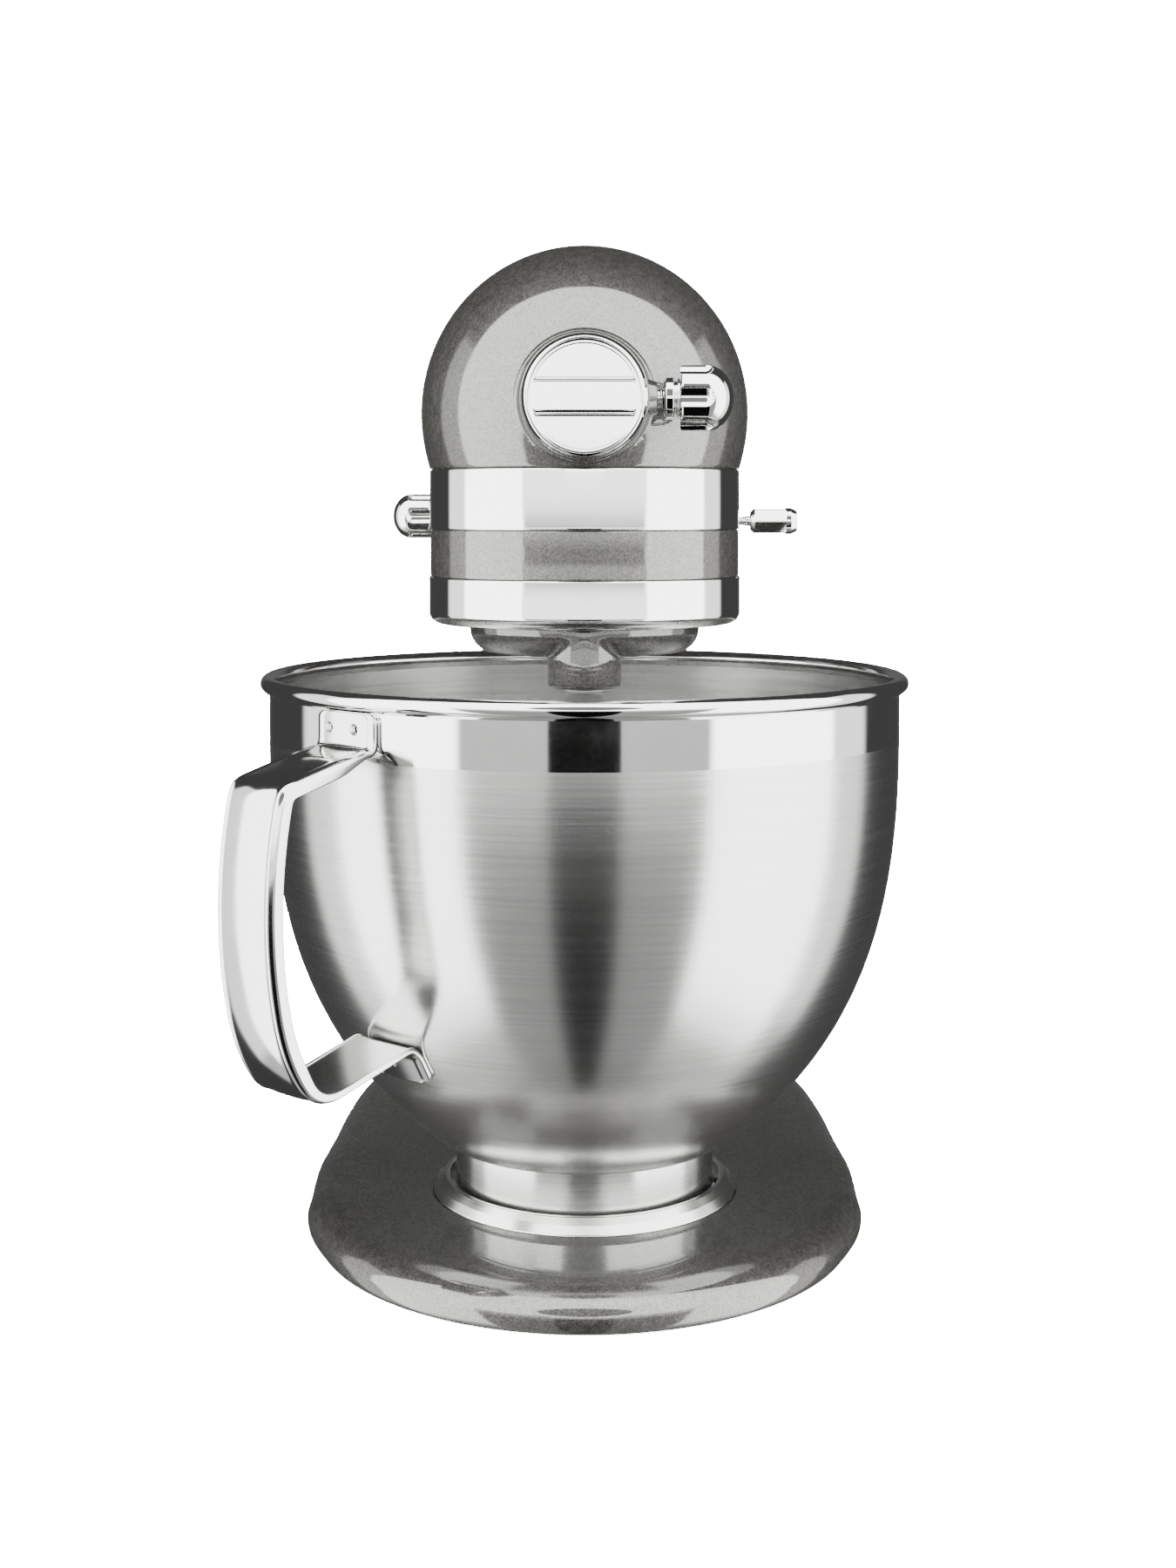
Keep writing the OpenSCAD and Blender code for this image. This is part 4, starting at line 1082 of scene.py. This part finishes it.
def make_speed_lever():
    lever = rod(5.5, 5.4, "Z", (26, LEVER_Y, 245.8), 0.4)
    arm = rod(1.5, 42, "X", (30, LEVER_Y, LEVER_Z), 0.1, 32)
    crank = [block((10, 26), (LEVER_Y - 2, LEVER_Y + 2), (245.8, 248)),
             rod(1.5, 4.2, "Z", (12, LEVER_Y, 247), 0.2, 32)]
    add(lever, arm, *crank)
    neck = turned(rounded([(1.4, 1.2, 0), (1.7, 1.2, 0.1), (1.9, 2.8, 0.3), (1.9, 4.2, 0.3),
                           (1.4, 4.2, 0)], 3), "X", (62.8, LEVER_Y, LEVER_Z), 48)
    add(lever, neck)
    cut(lever, rod(3, 20, "Z", (26, LEVER_Y, 240)))
    finish_piece(lever, "speed_arm", "speed_lever", "speed_control", "steel", materials=[chrome])
    knob = turned(rounded([(0, 0, 0), (3.6, 0, 0.4), (5.3, 1.7, 0.4), (5.3, 16.2, 0.5),
                           (4.1, 18.7, 0.6), (0, 18.7, 0)], 4), "X", (67, LEVER_Y, LEVER_Z), 96)
    flats = [rod(1.55, 6, "X", (66, LEVER_Y, LEVER_Z))]
    for a in range(0, 360, 60):
        flat = block((1.5, 14.2), (-6, 6), (4.75, 9))
        place(flat, turn=(a, "X"))
        flats.append(place(flat, (67, LEVER_Y, LEVER_Z)))
    cut(knob, *flats)
    bevel(knob, 0.25, 3, 24)
    finish_piece(knob, "speed_grip", "speed_knob", "speed_control", "chrome_plate", 30)


def make_lock():
    bar = rod(3, 44, "X", (-66, LEVER_Y, LOCK_Z), 0.3, 48)
    add(bar, block((LOCK_X - 5, LOCK_X + 5), (LEVER_Y - 5, LEVER_Y + 5), (236.5, 254)),
        rod(3.5, 12, "Y", (LOCK_X, LEVER_Y, LOCK_PIN_Z), 0.6, 48))
    bevel(bar, 0.3, 2, 60)
    finish_piece(bar, "lock_slide_bar", "lock_bar", "lock", "steel", materials=[chrome])
    knob = fluted_knob(15.4, 8.8, 6, 3.7)
    place(knob, (-61.8, LEVER_Y, LOCK_Z), (-90, "Y"))
    neck = turned(rounded([(3.05, -3.2, 0), (5.4, -3.2, 0.4), (5.0, -0.4, 0.8), (6.2, 0.6, 0),
                           (3.05, 0.6, 0)], 4), "-X", (-61.8, LEVER_Y, LOCK_Z), 64)
    add(knob, neck)
    cut(knob, rod(3.05, 8, "X", (-66.1, LEVER_Y, LOCK_Z)))
    finish_piece(knob, "lock_grip", "lock_knob", "lock", "chrome_plate", 36)


make_base()
make_column()
make_feet()
make_clamp_plate()
make_bowl()
make_bowl_foot()
make_handle()
make_housing()
make_gear_case()
make_band()
make_drip_ring()
make_rear_cover()
make_brush_caps()
make_gland()
make_carrier()
make_agitator()
make_hub_cap()
make_attachment_knob()
make_speed_lever()
make_lock()

# ---------- studio
def studio_material(name, strength, diffuse):
    material = bpy.data.materials.new(name)
    material.use_nodes = True
    tree = material.node_tree
    tree.nodes.clear()
    glow = add_node(tree, "Emission", {"Color": (1, 1, 1, 1), "Strength": strength})
    matt = add_node(tree, "BsdfDiffuse", {"Color": (diffuse, diffuse, diffuse, 1)})
    both = add_node(tree, "AddShader", {0: glow.outputs[0], 1: matt.outputs[0]})
    add_node(tree, "OutputMaterial", {"Surface": both.outputs[0]})
    return material


def set_stage(name, mesh, material):
    """Floor or backdrop that the camera sees and that reflections and light don't."""
    mesh.materials.append(material)
    thing = in_scene(name, mesh)
    thing.visible_diffuse = False
    thing.visible_glossy = False
    thing.visible_transmission = False
    thing.visible_shadow = False


floor_mesh = bpy.data.meshes.new("floor")
floor_mesh.from_pydata([(-6, -6, 0), (6, -6, 0), (6, 6, 0), (-6, 6, 0)], [], [(0, 1, 2, 3)])
set_stage("floor", floor_mesh, studio_material("pale_floor", 0.5, 16.0))

backdrop_mesh = bpy.data.meshes.new("backdrop")
sphere = bmesh.new()
bmesh.ops.create_uvsphere(sphere, u_segments=48, v_segments=24, radius=9)
sphere.to_mesh(backdrop_mesh)
sphere.free()
set_stage("backdrop", backdrop_mesh, studio_material("white_backdrop", 12.0, 0.0))


def product(tree, a, b):
    return socket_math(tree, "MULTIPLY", a, b)


def window(tree, value, low, high, soft):
    return product(tree, remap(tree, value, low - soft, low + soft),
                   remap(tree, value, high + soft, high - soft))


def make_world():
    """Soft studio surroundings: large panels in front and above, darker at the back corners."""
    world = bpy.data.worlds.new("studio")
    scene.world = world
    world.use_nodes = True
    tree = world.node_tree
    background = tree.nodes["Background"]
    coords = tree.nodes.new("ShaderNodeTexCoord")
    split = add_node(tree, "SeparateXYZ", {0: coords.outputs["Generated"]})

    def angle(kind, *values):
        """Angle in degrees from an inverse function of the direction."""
        return product(tree, socket_math(tree, kind, *values), 57.2958)

    forward = product(tree, split.outputs["Y"], -1.0)
    turn = angle("ARCTAN2", split.outputs["X"], forward)
    lift = angle("ARCSINE", split.outputs["Z"])
    away = angle("ARCCOSINE", forward)
    everywhere = 0.05
    panel_light = 4.0
    dark_patch = 0.3
    thin_line = 2.0
    level = socket_math(tree, "ADD", everywhere, 0.0)

    def zone(level, mask, strength):
        """Raises or lowers the level to strength where mask is 1."""
        return socket_math(tree, "MULTIPLY_ADD", socket_math(tree, "SUBTRACT", strength, level),
                           mask, level)

    def box_mask(turn_low, turn_high, lift_low, lift_high, soft):
        return product(tree, window(tree, turn, turn_low, turn_high, soft),
                       window(tree, lift, lift_low, lift_high, soft))

    level = zone(level, window(tree, away, 160, 200, 6), 0.12)
    level = zone(level, box_mask(-117, 117, -95, 20, 4), 0.7)
    level = zone(level, box_mask(-45, 45, -95, -14, 5), 0.42)
    level = zone(level, box_mask(-180, 180, -95, -72, 9), dark_patch)
    for low, high in ((-118, -97), (97, 118)):
        level = zone(level, box_mask(low, high, -40, 30, 3), 1.3)
    height = window(tree, lift, -48, 60, 10)
    for low, high in ((-98, -45), (45, 98)):
        level = zone(level, product(tree, window(tree, turn, low, high, 2), height), panel_light)
    lowered = socket_math(tree, "MULTIPLY_ADD", lift, 0.08, away)
    bank = product(tree, window(tree, lowered, -20, 98, 1.0), window(tree, lift, 6, 200, 1.5))
    level = zone(level, bank, panel_light)
    wide = socket_math(tree, "POWER", product(tree, turn, 1 / 21), 2.0)
    high = socket_math(tree, "POWER", socket_math(tree, "MULTIPLY_ADD", lift, 1 / 20, -29 / 20), 2.0)
    shade = window(tree, socket_math(tree, "ADD", wide, high), -1.0, 1.0, 0.08)
    level = zone(level, shade, dark_patch)
    level = zone(level, box_mask(-46, 46, -0.4, 7, 0.8), thin_line)
    level = zone(level, box_mask(-46, 46, -4.8, -2.3, 0.3), thin_line)
    level = zone(level, box_mask(-14, 14, 1.4, 7.5, 0.5), 3.4)
    level = zone(level, box_mask(-12.5, 12.5, -95, -5, 0.4), 0.002)
    tree.links.new(level, background.inputs["Strength"])
    background.inputs["Color"].default_value = (1, 1, 1, 1)


make_world()

soft_light = bpy.data.lights.new("soft_light", "AREA")
soft_light.shape = "DISK"
soft_light.size = 1.6
soft_light.energy = 20
soft_light_holder = in_scene("soft_light", soft_light)
soft_light_holder.location = (-0.35, -0.5, 1.9)
soft_light_holder.rotation_euler = (Vector((0, 0.05, 0.15)) - soft_light_holder.location
                                    ).to_track_quat("-Z", "Y").to_euler()
soft_light_holder.visible_camera = False
soft_light_holder.visible_glossy = False

camera_data = bpy.data.cameras.new("camera")
camera_data.lens = 47.26
camera_data.sensor_width = 36
camera_data.shift_x = 0.0022
camera_data.shift_y = -0.1794
camera = in_scene("camera", camera_data)
camera.location = (0, -0.732, 0.2564)
camera.rotation_euler = (math.radians(90), 0, 0)
scene.camera = camera


def set_tone():
    """Soft highlights: keeps dark and middle tones and eases bright ones towards white."""
    view = scene.view_settings
    view.view_transform = "Standard"
    view.use_curve_mapping = True
    mapping = view.curve_mapping
    white = 8.0
    mapping.white_level = (white, white, white)
    tone = mapping.curves[3]
    tone.points[0].location = (0, 0)
    tone.points[1].location = (1, 1)
    for light, shown in ((0.25, 0.25), (0.5, 0.45), (0.8, 0.59), (1.2, 0.69), (2.0, 0.78),
                         (3.0, 0.84), (4.0, 0.88), (6.0, 0.93)):
        tone.points.new(light / white, shown)
    for point in tone.points:
        point.handle_type = "VECTOR"
    mapping.update()


set_tone()
